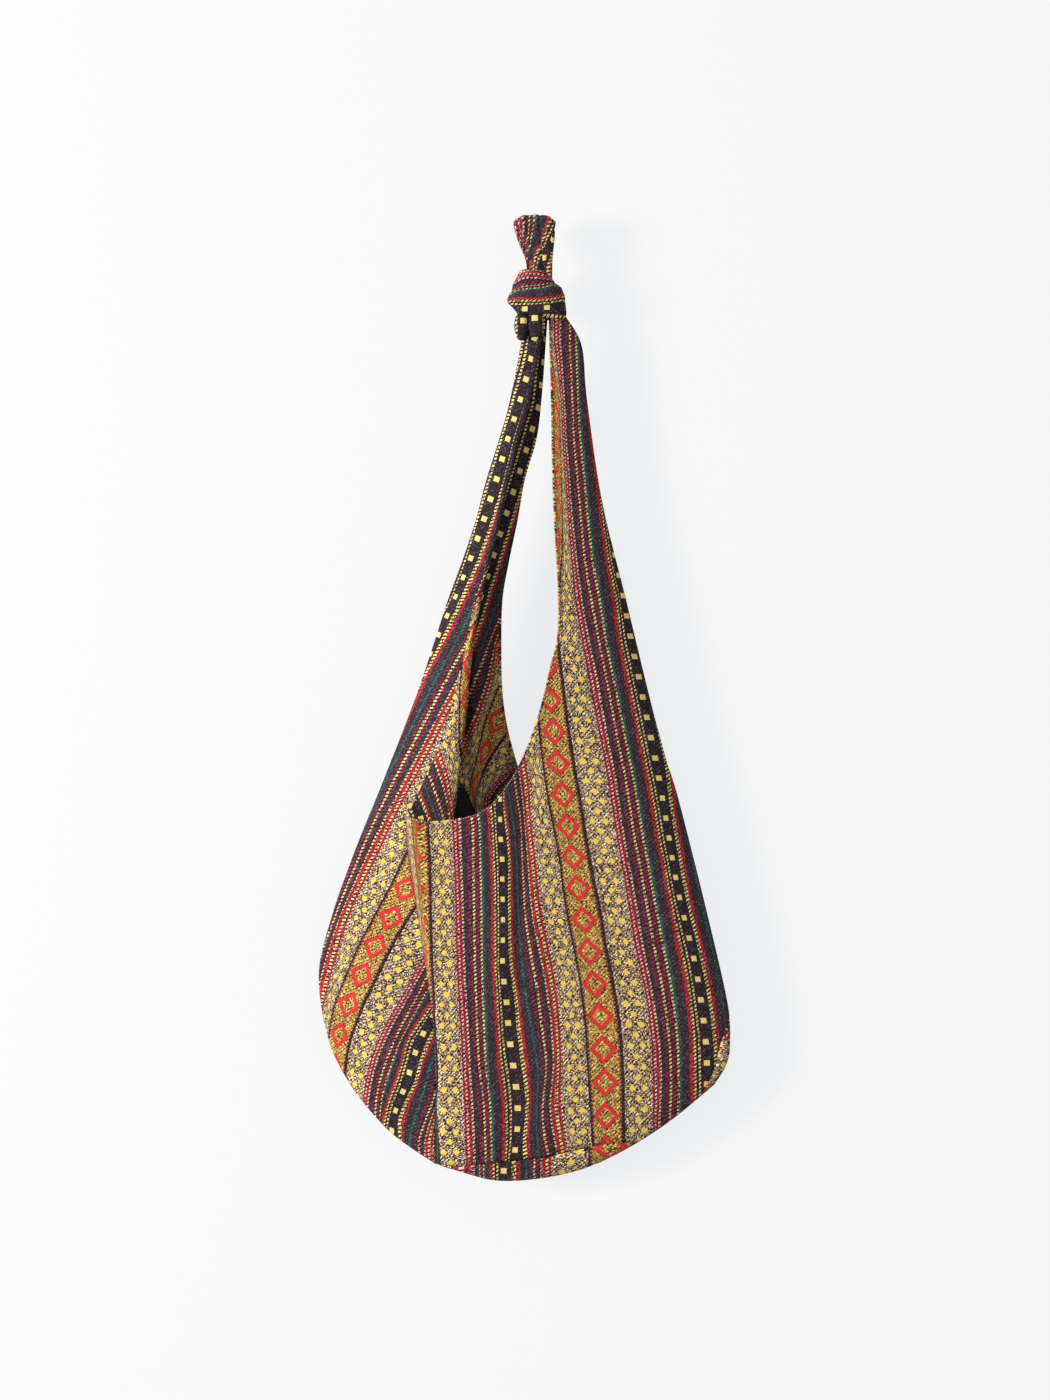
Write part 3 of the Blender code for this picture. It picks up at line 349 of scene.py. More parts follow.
LOOP_STRIPES = [
    (133.0, [-21.8, -19.9, -19.0, -19.0, -22.8]),
    (142.5, [-13.8, -11.4, -11.9, -15.2, -19.0]),
    (150.9, [-7.1, -6.6, -9.0, -12.3, -16.1]),
    (158.1, [-2.8, -1.9, -5.7, -9.5, -13.3]),
    (163.4, [0.9, 1.9, -2.8, -7.6, -11.4]),
    (169.4, [9.5, 9.5, 4.3, -4.8, -8.1]),
    (174.0, [12.3, 12.3, 6.2, -2.4, -5.7]),
    (178.4, [15.2, 15.2, 9.0, 1.4, -1.9]),
    (187.1, [20.9, 20.9, 14.2, 6.6, 4.3]),
    (194.3, [25.6, 25.6, 19.9, 10.9, 9.0]),
]
# The same for the knot's band, whose stripes lie across: at these places right of the hanging point, how
# far below it each line runs
KNOT_PLACES = [-28, -20, -10, -1, 9, 16, 23, 28]
KNOT_STRIPES = [
    (133.0, [66.5, 54.1, 48.4, 48.0, 49.4, 56.0, 60.3, 62.7]),
    (141.5, [70.3, 58.9, 55.6, 56.0, 57.9, 57.9, 61.3, 64.6]),
    (147.2, [72.2, 62.7, 58.9, 59.4, 59.8, 58.9, 61.8, 65.5]),
    (150.9, [73.1, 66.5, 64.6, 64.1, 63.2, 59.8, 62.5, 66.5]),
    (160.4, [74.1, 68.9, 67.5, 67.0, 66.5, 62.7, 63.6, 67.5]),
    (163.4, [74.6, 70.8, 69.8, 69.3, 68.9, 65.5, 65.5, 68.4]),
    (169.4, [76.0, 75.0, 75.0, 75.0, 74.9, 73.1, 71.2, 69.8]),
    (174.0, [77.4, 77.9, 78.2, 78.2, 77.9, 76.0, 73.6, 72.2]),
    (178.4, [78.8, 80.6, 80.8, 80.8, 80.3, 78.8, 76.5, 75.0]),
    (187.1, [81.7, 85.5, 85.5, 85.5, 84.5, 84.5, 83.6, 81.7]),
    (193.8, [85.5, 91.2, 91.7, 91.2, 90.2, 90.7, 91.2, 91.2]),
]

WEAVE = "weave"  # the cloth's UV layer, in millimetres: across the stripes, then along them
WELD = 0.01 * MM  # points of a sheet that lie nearer than this are one
CURVE_STEPS = 12  # fine steps of a smooth outline from one of its points to the next
TABLE_BLUR = 9  # half the reach over which the measured lines are smoothed, in millimetres
LINES_APART = 0.01  # lines that run together are kept this far apart, in millimetres
TABLE_END = 1.001  # a table is read no further than this many of its rows before its end
# The outlines' own width, and the drops of their highest and lowest points, in millimetres
MEASURED_WIDTH = 391.0
MEASURED_TOP = 93.0
MEASURED_DROP = 912.0

# The panels. Lengths are in metres here and below, where nothing else is said
SEAM_HALF = 0.0008  # from the seam's mid-plane to the middle of a panel's cloth
LAYER_GAP = 0.0003  # between the knot and the wings under it
SEAM_STEEPNESS = 0.75  # below 1 a puffed layer leaves its seam steeply
SEAM_ROUNDING = 0.6  # power that rounds the belly off where it meets a seam
ACROSS_FULLNESS = 2.2  # the higher, the further the front's belly reaches towards the side seam
DROP_FULLNESS = 2.4  # the same towards the bottom seam
BELLY_LEFT = 0.72  # share of the front belly by which the cloth left of the pleat stands out
BACK_SLOPE = 0.42  # share of the back's width over which it rises from each side seam
WING_GROWTH = 1.6  # power by which a wing's swell grows down to the body's
PLEAT_FADE = 0.3  # share of the body's height over which the pleat runs out at the bottom seam
PLEATED = 0.17  # share of the body's width, beside its fold, that lies over the pleat
FOLD_ROUND = 0.02  # share of the body's width over which its fold is rounded
FOLD_SHARPNESS = 0.5  # below 1 the rounding is steep at the fold itself
EDGE_HOLD = 3  # soft folds are at their full depth from 1/3 of a part's width away from its seam
LAPEL_LIFT = 2  # the lapel stands at its whole step from 1/2 of its width on
# The ripple across the front, from the pleat to the side seam: depth, number of waves, the share of a wave
# at which it starts, how fast it dies out, and the share of the body's height that it reaches down
RIPPLE = 0.006
RIPPLE_WAVES = 1.9
RIPPLE_START = 0.1
RIPPLE_DECAY = 3.2
RIPPLE_REACH = 0.67
# Soft folds of the hanging cloth, in millimetres: (drop, across) of both ends, half width, how deep each is
FOLDS = [((535, -9), (735, -17), 8, 2.6), ((560, -32), (760, -38), 12, -1.6),
         ((760, -26), (880, -20), 11, 2.0), ((770, -180), (850, -112), 12, 2.2),
         ((745, -168), (812, -108), 10, -1.8), ((800, -150), (870, -104), 9, -1.6),
         ((600, -150), (700, -112), 12, 1.8), ((530, 40), (700, 84), 16, 1.6),
         ((560, 104), (720, 148), 13, -1.6), ((330, 42), (500, 60), 9, 1.4),
         ((280, -40), (430, -84), 7, 1.2)]

# The bottom seam on the front, where the back cloth wraps forward: (drop, across)
SEAM_LINE = [(897, -90), (899, -79), (889, 9.5), (881, 43), (876, 66.5), (876, 95), (869, 112), (856, 129),
             (833, 155), (810, 169), (787.6, 172.9), (757, 182.8)]
SEAM_MEETS = 0.999  # a column whose share above the seam is more than this has no seam across it
SEAM_DIP = 0.0016  # how far the cloth sinks in at the seam
SEAM_DIP_REACH = 3.0  # and how far from the seam, in millimetres
SEAM_DIP_POWER = 4  # how fast the dip ends on the strip below the seam
STRIP_SWELL = 0.0015  # how far that strip stands out
STRIP_FULLNESS = 0.7  # below 1 the strip is full up to its edges
STRIP_FULL_WIDTH = 12  # a strip at least this wide has its whole swell, in millimetres
# The little folds beside the seam: height, and in millimetres their pitch, their reach upwards and how wide
# the strip is for them. A shorter wave breaks them up: its share of height and pitch, and where it starts
PUCKER = 0.0007
PUCKER_PITCH = 24.0
PUCKER_REACH = 14.0
PUCKER_STRIP = 25
PUCKER_BREAK = (0.6, 0.37, 2)

# The facing: thickness, how far its middle lies before the back cloth's, and its standing fold's height,
# then place and half width in shares of the facing's width
FACING = 0.0012
FACING_LIES = 0.0020
CREASE = 0.010
CREASE_PLACE = 0.62
CREASE_WIDTH = 0.13
# How far its foot stands off, and in millimetres the drop at which that starts and the run that it takes
FACING_FOOT_OUT = 0.0035
FACING_FOOT_START = 528
FACING_FOOT_RUN = 12

# The lining: thickness, clearance to the cloth round it, and how far it ends from the side and bottom seams
LINING = 0.0010
LINING_CLEAR = 0.0018
LINING_INSET = 0.019
LINING_FOOT = 0.0235
# In millimetres: the drop of its mouth at the sides, the mouth's lowest point, how much lower its front
# hangs, and how far round each point the front cloth is felt for
LINING_TOP = 522.0
LINING_DIP = (550, -5)
LINING_FRONT_LOWER = 50.0
LINING_SPAN = 22.0
# The places at which it is felt for, downwards and across, in shares of that reach
LINING_FELT = ((-0.5, 0, 0.5), (-1, -0.5, 0, 0.5, 1))

# The strap over the hook: depth of its opening, its width at the bend and at the knot, and its thickness
LOOP_GAP = 0.014
LOOP_WIDTH = 0.037
LOOP_WAIST = 0.023
LOOP_CLOTH = 0.0048
# How far right of the hanging point its bend lies, and its foot
LOOP_TOP_SHIFT = -0.0012
LOOP_LEAN = 0.0028
LOOP_SUNK = 0.3  # share of the knot's height that its legs run on into the knot
LOOP_PINCH = 0.3  # how much nearer to each other the legs lie there
LOOP_CURL = 0.12  # how much the strap curls there
LOOP_DROOP = 0.006  # how far the bend's two edges hang below its middle
LOOP_DROOP_POWER = 4
LOOP_FOLDS = [(0.0003, 11, 1.3), (0.0002, 19, 0)]  # height, waves and start of its fine lengthwise folds
LOOP_RUN = 2  # place along the weave at the bend, in millimetres

# The knot's outline, level by level, in millimetres: drop, left side, right side and half its depth
KNOT_OUTLINE = [(47.5, -14, 8, 7), (49, -15.5, 10, 11), (53, -18, 13.5, 15), (59, -20.5, 17, 18),
                (64.5, -22.5, 24, 19.5), (70, -25, 26.5, 20), (76, -27.5, 27.5, 20), (80, -25.5, 28, 19.8),
                (83.5, -21.8, 28.3, 18.5), (87.5, -18.5, 28.6, 17), (91, -15, 28.2, 15), (94, -9, 26.5, 11)]
# Creases and turns round the knot, in millimetres: place across its stripes, half width, how far it stands
# out
KNOT_CREASES = [(148, 2.5, -0.9), (141, 3, 0.7), (155, 4, 0.6), (176, 7, 0.5), (181, 1.6, -0.6),
                (193, 5, 0.6), (202, 3, -1.2)]
KNOT_RUN = 28.7  # place along the weave straight below the hanging point
KNOT_SQUARENESS = 2.3  # 2 is round, more is squarer
# The turns under the knot: middle and half sizes in shares of the knot's sizes, and where their squares lie
TURNS = [((-0.245, -0.2, -0.2), (0.13, 0.24, 0.31), (-11.8, 97.5)),
         ((0.01, -0.28, -0.17), (0.15, 0.16, 0.33), (-1.2, 95.0))]
TURN_ENDS = 0.03  # angle that is left open at both ends of a turn
TURN_FULLNESS = 0.8  # below 1 a turn is fuller than round

HEM_RADIUS = 0.0011
HEM_POINTS = 8
HEM_TURN = 0.5  # how much of the part that is turned under shows more or less, round the hem
# How many millimetres of the weave each front hem turns under
FRONT_HEMS = [("mouth", 0), ("right_wing", -4.5), ("lapel", 0)]
STITCH_OUT = 0.0009  # from the middle of the cloth to the stitches on it
STITCH_ROW = 2  # the cloth's row, counted from its edge, on which a hem's stitches lie
# Pitch, length and thickness of the stitches, in millimetres
HEM_STITCH = (3.4, 2.3, 0.45)
EDGE_STITCH = (2.4, 1.7, 0.75)
STITCH_FORM = (6, 4, 0.5)  # segments, rings and radius of the ball that a stitch is stretched from

# Grid counts
WING_ROWS = 90
BODY_ROWS = 90
LEFT_COLUMNS = 40
LAPEL_COLUMNS = 14
MOUTH_COLUMNS = 44
RIGHT_COLUMNS = 48
BACK_COLUMNS = 44
BACK_MOUTH_COLUMNS = 12
STRIP_ROWS = 8
FACING_COLUMNS = 48
FACING_ROWS = 60
LINING_COLUMNS = 24
LINING_ROWS = 18
LINING_SEAM_STEPS = 120  # steps along the left seam that the lining's side is picked from
LOOP_COLUMNS = 80
LOOP_ROWS = 140
KNOT_ROWS = 30
KNOT_POINTS = 96

# Where the body lies along the weave: (drop, place), in millimetres
FRONT_RUN = [(76, -409), (456, 0), (516, 64.6), (575, 129.2), (633, 193.8), (693, 258.4), (754, 323),
             (817, 387.6), (849, 419.9), (903, 475), (960, 532)]
# The same for the parts whose stripes lean: millimetres of the weave for each one to the right and each one
# down, and the place at the hanging point
LEFT_LEAN = (-0.403, 0.975, 10.4)
LAPEL_LEAN = (0.28, 0.96, 0)
BACK_LEAN = (-0.38, 0.92, 0)

# The weave's repeat, in the pixels it was measured in and in millimetres
REPEAT_PX = 197.0
REPEAT = 187.1
# Where each stripe of it starts, in those pixels, its colour and its kind
STRIPES = [(0, "black", "plain"), (7.3, "yellow", "dotted"), (10.9, "red", "plain"),
           (14.1, "aubergine", "plain"), (20.8, "teal", "plain"), (23.2, "aubergine", "plain"),
           (27, "wine", "dotted"), (29.6, "aubergine", "dotted"), (31, "straw", "dotted"),
           (33.2, "wine", "dotted"), (36, "aubergine", "plain"), (39.5, "straw", "dotted"),
           (41.2, "red", "plain"), (43.9, "straw", "dotted"), (46.3, "red", "plain"),
           (49, "beige", "dotted"), (50.6, "beige", "heather"), (77.4, "black", "plain"),
           (80, "orange", "dotted"), (81.5, "olive", "olive"), (108.8, "orange", "dotted"),
           (110.4, "black", "plain"), (113.5, "beige", "heather"), (140.5, "rose", "dotted"),
           (141.5, "crimson", "plain"), (143.4, "rose", "dotted"), (146, "crimson", "plain"),
           (149.2, "beige", "dotted"), (151.2, "aubergine", "plain"), (155.3, "wine", "dotted"),
           (158, "aubergine", "dotted"), (158.8, "straw", "dotted"), (161.3, "wine", "dotted"),
           (165.8, "aubergine", "dotted"), (166.4, "straw", "dotted"), (168.8, "teal", "plain"),
           (171.5, "aubergine", "plain"), (178.6, "red", "plain"), (181.8, "orange", "dotted"),
           (183.2, "yellow", "dotted"), (185.6, "black", "plain"), (187.8, "yellow", "dotted"),
           (190.8, "black", "plain")]
# A kind of stripe as a colour, so that one ramp can say where each kind lies
KINDS = {"plain": (0, 0, 0, 1), "dotted": (1, 0, 0, 1), "heather": (0, 1, 0, 1), "olive": (0, 0, 1, 1)}
# Threads of the two flecked bands from the darkest up: the fleck at which each starts, and its colour
HEATHER_THREADS = [(0, "22161a"), (0.35, "6a5446"), (0.49, "a38a6c"), (0.78, "e8cfa2")]
OLIVE_THREADS = [(0, "46241c"), (0.3, "86622c"), (0.46, "b08e44"), (0.78, "dcc078")]
# Pitches of the weave, in millimetres. The real threads are about 0.5 mm apart, and like the real ribs and
# beads too fine to show in the render, so all are drawn as coarse as they need to be seen
THREAD = 1.0  # from one thread to the next
ROW_SHIFT = 0.5  # how far each row of threads is set off from the one before, in threads
WALE_PITCH = 4.0  # from one diagonal line of the twill to the next, by its shade
TWILL_PITCH = 2.3  # and by its relief
DOT_PITCH = 3.8  # from one bead of a dotted stripe to the next
WALE_SHARE = 0.26  # how much of a fleck the diagonal lines make, beside the threads' own chance
GROUND_SHARE = 0.34  # below this fleck the dark ground shows between the coloured threads
GROUND_SHOWS = 0.9  # and covers them by this much
SLUB_SHARE = 0.82  # above it a thick pale thread shows on every stripe
SLUB_SHOWS = 0.3
SLUB = "887488"
DOT_GROUND = "2a1820"
DOT_LEAN = 0.5  # how far the beads' ends run along the stripe for each millimetre across it
DOT_SHARE = 0.56  # share of the pitch that a bead covers
FLECK_SPREAD = 0.85  # how much lighter and darker the threads of a field are
FLECK_MIDDLE = 1.0
# The motifs, in millimetres: middles across the weave, half sizes across and along it, pitches along it.
# The powers say how round they are: 1 is a diamond, 2 an oval. Ragged edges follow single threads
DIAMOND_CENTRE = 90.3
DIAMOND_HALF = (12.4, 13.9)
DIAMOND_PITCH = 32.3
DIAMOND_INSIDE = 0.57  # share of a diamond's size at which its ring ends inside
DIAMOND_POWER = 1.05
DIAMOND_RAGGED = 0.2
SQUARE_START = 18.2
SQUARE_PITCH = 20.7
SQUARE_HALF = (3.0, 2.7)
STAR_MIDDLE = 90.75  # the two bands of stars lie on either side of it, each this far away
STAR_AWAY = 29.95
STAR_PAIR = 5.7  # from a band's middle to the stars that stand in pairs
STAR_HALF = (3.35, 3.5)
MOTIF_POWER = 1.2
MOTIF_RAGGED = 0.4
MOTIF_EVEN = 0.6  # how much of the flecks a motif's own thread takes away
# The relief: height of the motifs and of the twill's ribs where a thread's is 1, then strength and depth
MOTIF_RISE = 0.8
TWILL_RISE = 0.5
RELIEF = (0.6, 0.0005)

# Sewing thread: marks of its twist in each metre, 0.7 mm apart, with the noise's detail, and how dark their
# shaded side is
TWIST_NOISE = (1500.0, 1.0)
TWIST_SHADE = 0.6
DARK_THREAD = "2b1c22"  # of the stitches along the hems
PALE_THREAD = "cbb6a2"  # of those over the mouth's edge
# Black cotton: threads in each metre, drawn 1.1 mm apart because the real ones are too fine to show, with
# the noise's detail. Then the colours from their shaded side up, and their relief: strength, and depth in
# metres
BLACK_NOISE = (900.0, 2.0)
BLACK_THREADS = [(0, "151417"), (0.48, "1f1e22"), (0.62, "2b292d")]
BLACK_RELIEF = (0.4, 0.0003)

WALL_PLANE = 0.047  # depth of the wall behind the hanging point
WALL_CORNERS = [(-3, -3), (3, -3), (3, 2), (-3, 2)]
WALL_PAINT = "f4f4f4"
WALL_GLOW = 0.985  # how bright the wall looks by itself, before the lights' share
# The colour that the lights bring out is warm and the glow's tint blue: they make white in full light, and
# paint the bag's shadow on the wall blue
WALL_SHADE = "6b6059"
WALL_TINT = "e5e9ec"
# Each light's place, the side of its square, and its watts
LIGHTS = [("key light", (-4.0, -2.8, -0.1), 1.1, 312), ("fill", (0.4, -3.1, 0.0), 2.2, 21)]
LIGHTS_AIM = (0, 0, -0.5)
ROOM_LIGHT = 0.38
CAMERA_DISTANCE = 3.2
CAMERA_SENSOR = 36  # along the picture's longer side, in millimetres
VIEW_HEIGHT = 1.33
VIEW_MIDDLE = (-0.01045, -0.456)


def hue(code):
    """An sRGB hex colour as the linear values that shaders take, with full cover."""
    channels = [int(code[k:k + 2], 16) / 255 for k in (0, 2, 4)]
    return (*(c / 12.92 if c <= 0.04045 else ((c + 0.055) / 1.055) ** 2.4 for c in channels), 1)


def along(points, count):
    """count + 1 points evenly along a smooth curve through the outline points."""
    knots = np.array([points[0], *points, points[-1]], float)
    t = (np.arange(CURVE_STEPS) / CURVE_STEPS)[:, None]
    pieces = [0.5 * (2 * b + (c - a) * t + (2 * a - 5 * b + 4 * c - d) * t ** 2
                     + (3 * b - a - 3 * c + d) * t ** 3)
              for a, b, c, d in zip(knots, knots[1:], knots[2:], knots[3:])]
    fine = np.vstack(pieces + [knots[-1:]])
    run = np.concatenate(([0], np.cumsum(np.hypot(*np.diff(fine, axis=0).T))))
    at = np.linspace(0, run[-1], count + 1)
    return np.column_stack([np.interp(at, run, fine[:, k]) for k in (0, 1)])


def patch(left, right, top, bottom):
    """Rows of points between four outlines, as a blend of the four sides."""
    t = np.linspace(0, 1, len(left))[:, None, None]
    s = np.linspace(0, 1, len(top))[None, :, None]
    corners = (1 - t) * ((1 - s) * left[0] + s * right[0]) + t * ((1 - s) * left[-1] + s * right[-1])
    return (1 - s) * left[:, None] + s * right[:, None] + (1 - t) * top[None] + t * bottom[None] - corners


def length(name, description, default):
    """A size of the bag that the sidebar shows as a length."""
    return bpy.props.FloatProperty(name=name, description=description, default=default, unit="LENGTH")


class BagSizes(bpy.types.PropertyGroup):
    """Sizes of the bag."""
    width: length("Width", "Across the body, seam to seam", 0.391)
    drop: length("Drop", "From the hanging point to the bottom seam", 0.912)
    belly_front: length("Front belly", "How far the front panel stands out", 0.042)
    belly_back: length("Back belly", "How far the back panel stands out", 0.024)
    wing_swell: length("Wing swell", "How far a wing's layer stands out on top", 0.007)
    cloth: length("Cloth", "Thickness of the jacquard", 0.0012)
    pleat: length("Pleat step", "From one layer of the pleat to the next", 0.0052)
    knot_top: length("Knot top", "From the hanging point to the knot", 0.046)
    knot_height: length("Knot height", "Height of the knot", 0.046)
    knot_width: length("Knot width", "Width of the knot", 0.055)
    knot_depth: length("Knot depth", "Depth of the knot", 0.040)


def yarn(name, description, code):
    """A yarn's colour that the sidebar shows as a swatch."""
    return bpy.props.FloatVectorProperty(name=name, description=description, default=hue(code),
                                         subtype="COLOR", size=4, min=0, max=1)


class BagYarns(bpy.types.PropertyGroup):
    """Colours of the yarns that the cloth is woven from."""
    black: yarn("Black", "Band under the yellow squares and fine black lines", "251b20")
    aubergine: yarn("Aubergine", "Dark ground of the striped bands", "38282f")
    wine: yarn("Wine", "Dark red lines", "8c213a")
    crimson: yarn("Crimson", "Lines beside the flecked bands", "a0182c")
    red: yarn("Red", "Bright red lines", "ac1f2c")
    scarlet: yarn("Scarlet", "Diamonds", "d03430")
    orange: yarn("Orange", "Edges of the olive band", "c8662c")
    rose: yarn("Rose", "Dotted lines between the crimson ones", "eab4a2")
    beige: yarn("Beige", "Dotted lines beside the flecked bands", "dcbf9c")
    straw: yarn("Straw", "Thin dotted lines", "dcc47e")
    yellow: yarn("Yellow", "Dotted lines and squares beside the black band", "e6cc78")
    gold: yarn("Gold", "Small stars", "e6c45a")
    olive: yarn("Olive", "Ground round the diamonds", "a8943c")
    teal: yarn("Teal", "Green-blue lines", "1f5650")


def sizes():
    """The sizes that the sidebar holds."""
    return bpy.context.scene.bag_sizes


def place(points):
    """Measured outline points as points of this bag, in metres: (x, z)."""
    end = -(sizes().knot_top + sizes().knot_height) - LAYER_GAP
    share = (points[..., 0] - MEASURED_TOP) / (MEASURED_DROP - MEASURED_TOP)
    return points[..., 1] * sizes().width / MEASURED_WIDTH, end + share * (-sizes().drop - end)


def rise(share):
    """Depth of a puffed layer at a share of the way in from its seam: steep at the seam, level at 1."""
    return np.sin(math.pi / 2 * np.clip(share, 0, 1)) ** SEAM_STEEPNESS


def fade(share):
    """1 down to 0 towards the bottom seam."""
    return np.maximum(1 - np.clip(share, 0, None) ** DROP_FULLNESS, 0) ** SEAM_ROUNDING


def soft_step(share):
    """0 up to 1 over the same range, level at both ends."""
    share = np.clip(share, 0, 1)
    return share * share * (3 - 2 * share)


def surface(points, depth):
    """Outline points with a depth for each, as points of this bag in metres."""
    x, z = place(points)
    return np.stack([x, depth, z], axis=-1)


def stripe_places(drops, table, points):
    """Where points of the cloth lie across the weave, in millimetres, from the stripes around them."""
    offsets = np.array([offset for offset, _ in table])
    dense = np.arange(drops[0], drops[-1] + 1)
    padded = np.clip(np.arange(dense[0] - TABLE_BLUR, dense[-1] + TABLE_BLUR + 1), dense[0], dense[-1])
    blur = np.hanning(2 * TABLE_BLUR + 3)[1:-1]
    blur /= blur.sum()
    lines = np.array([np.convolve(np.interp(padded, drops, line), blur, "valid") for _, line in table])
    lines = np.maximum.accumulate(lines, axis=0) + LINES_APART * np.arange(len(table))[:, None]
    flat = points.reshape(-1, 2)
    row = np.clip(flat[:, 0] - drops[0], 0, len(dense) - TABLE_END)
    low = row.astype(int)
    part = row - low
    around = lines[:, low] * (1 - part) + lines[:, low + 1] * part
    found = np.array([np.interp(across, around[:, k], offsets) for k, across in enumerate(flat[:, 1])])
    found += np.minimum(flat[:, 1] - around[0], 0) + np.maximum(flat[:, 1] - around[-1], 0)
    return found.reshape(points.shape[:2])


def upright_weave(points, drops, table):
    """The weave of the body, whose stripes run down the bag: places across and along it."""
    run = np.interp(points[..., 0], *zip(*FRONT_RUN))
    return np.stack([stripe_places(drops, table, points), run], axis=-1)


def leaning_weave(points, drops, table, lean):
    """The weave of a part whose stripes lean: places across and along it."""
    run = lean[0] * points[..., 1] + lean[1] * points[..., 0] + lean[2]
    return np.stack([stripe_places(drops, table, points), run], axis=-1)


def finished(item):
    """The object with its modifiers made part of its mesh."""
    mesh = bpy.data.meshes.new_from_object(item.evaluated_get(bpy.context.evaluated_depsgraph_get()))
    item.modifiers.clear()
    item.data = mesh
    return item


def cloth_object(name, parts, thickness, finish, offset=0.0):
    """Grids of points with their place in the weave as one sheet, welded where they meet."""
    mesh = bpy.data.meshes.new(name)
    form = bmesh.new()
    layer = form.loops.layers.uv.new(WEAVE)
    for points, weave in parts:
        made = [[form.verts.new(point) for point in row] for row in points]
        for j in range(len(made) - 1):
            for i in range(len(made[0]) - 1):
                corners = ((j + 1, i), (j + 1, i + 1), (j, i + 1), (j, i))
                face = form.faces.new([made[a][b] for a, b in corners])
                for loop, (a, b) in zip(face.loops, corners):
                    loop[layer].uv = weave[a, b]
    bmesh.ops.remove_doubles(form, verts=form.verts, dist=WELD)
    bmesh.ops.recalc_face_normals(form, faces=form.faces)
    form.to_mesh(mesh)
    form.free()
    mesh.shade_smooth()
    item = bpy.data.objects.new(name, mesh)
    bpy.context.scene.collection.objects.link(item)
    mesh.materials.append(finish)
    if thickness:
        solidify = item.modifiers.new("thickness", "SOLIDIFY")
        solidify.thickness = thickness
        solidify.offset = offset
        item = finished(item)
    return item


def side_swell(j):
    """Depth of the front layer left of the pleat, row by row from the knot down."""
    s = sizes()
    left = BELLY_LEFT * s.belly_front
    wing = s.wing_swell + (left - s.wing_swell) * np.clip(j / WING_ROWS, 0, 1) ** WING_GROWTH
    return np.where(j <= WING_ROWS, wing, left * fade((j - WING_ROWS) / BODY_ROWS))


def front_depth(s, t):
    """Depth of the front from the pleat (s = 0) to the side seam on the right, mouth (t = 0) to bottom."""
    puffed = sizes().belly_front * np.maximum(1 - s ** ACROSS_FULLNESS, 0) ** SEAM_ROUNDING * fade(t)
    wave = np.sin(2 * math.pi * (RIPPLE_WAVES * s + RIPPLE_START)) * np.exp(-RIPPLE_DECAY * s)
    ripple = RIPPLE * wave * np.maximum(1 - t / RIPPLE_REACH, 0)
    return -(SEAM_HALF + puffed - ripple)


def pleat_lift(t):
    """How far each layer of the pleat stands before the one behind it; it fades into the bottom seam."""
    return sizes().pleat * soft_step((1 - t) / PLEAT_FADE)


def seam_share(body):
    """For each column of the body, the share of its length at which the bottom seam crosses it."""
    seam = np.interp(body[..., 1], *zip(*[(across, drop) for drop, across in SEAM_LINE]))
    past = body[..., 0] - seam
    found = []
    for column in past.T:
        first = np.argmax(column > 0) if (column > 0).any() else len(column) - 1
        step = column[first - 1] / (column[first - 1] - column[first]) if column[first] > 0 else 1.0
        found.append((first - 1 + step) / (len(column) - 1))
    return np.array(found)


def resampled(grid, rows):
    """A grid's values at other rows, column by column. The rows may be fractions, counted from the first."""
    low = np.clip(rows.astype(int), 0, len(grid) - 2)
    part = rows - low
    columns = np.broadcast_to(np.arange(grid.shape[1]), rows.shape)
    if grid.ndim == 3:
        part = part[..., None]
    return grid[low, columns] * (1 - part) + grid[low + 1, columns] * part


def pucker(run, off):
    """The little folds that the seam's thread draws up beside it."""
    size, pitch, start = PUCKER_BREAK
    wave = np.sin(2 * math.pi * run / PUCKER_PITCH)
    wave = wave + size * np.sin(2 * math.pi * run / (pitch * PUCKER_PITCH) + start)
    return PUCKER * wave * np.exp(-off / PUCKER_REACH)


def body_above_seam(body, depth):
    """The part of the body that is front cloth: it ends at the bottom seam, with a dip and little folds."""
    share = seam_share(body)
    rows = np.linspace(0, 1, BODY_ROWS + 1)[:, None] * share[None, :] * BODY_ROWS
    points, depth = resampled(body, rows), resampled(depth, rows)
    off = points[-1, :, 0][None, :] - points[..., 0]
    inward = SEAM_DIP * np.exp(-(off / SEAM_DIP_REACH) ** 2) - pucker(points[-1, :, 1], off)
    return points, depth + inward * (share < SEAM_MEETS)


def body_below_seam(body, depth):
    """The strip of the back cloth that wraps forward to the bottom seam."""
    share = seam_share(body)
    across = np.linspace(0, 1, STRIP_ROWS + 1)[:, None]
    rows = (share[None, :] + across * (1 - share[None, :])) * BODY_ROWS
    points, found = resampled(body, rows), resampled(depth, rows)
    width = points[-1, :, 0] - points[0, :, 0]
    full = np.clip(width / STRIP_FULL_WIDTH, 0, 1)[None, :]
    found = found - STRIP_SWELL * np.sin(math.pi * across) ** STRIP_FULLNESS * full
    found = found + SEAM_DIP * (1 - across) ** SEAM_DIP_POWER - pucker(points[..., 1], PUCKER_STRIP * across)
    points = np.concatenate([points, points[-1:]])
    return points, np.concatenate([found, np.full((1, found.shape[1]), SEAM_HALF)])


def edge_line(part, rows, columns):
    """An edge of a piece of cloth: its points and their place in the weave."""
    points, weave = part
    return points[rows, columns], weave[rows, columns]


def fold_depth(points):
    """How far the soft folds of the hanging cloth sink it; each fades towards its ends."""
    sunk = np.zeros(points.shape[:2])
    for start, end, width, depth in FOLDS:
        way = np.subtract(end, start)
        share = np.clip((points - start) @ way / (way @ way), 0, 1)
        off = np.linalg.norm(points - (start + share[..., None] * way), axis=-1)
        sunk += depth * MM * np.exp(-(off / width) ** 2)
    return sunk


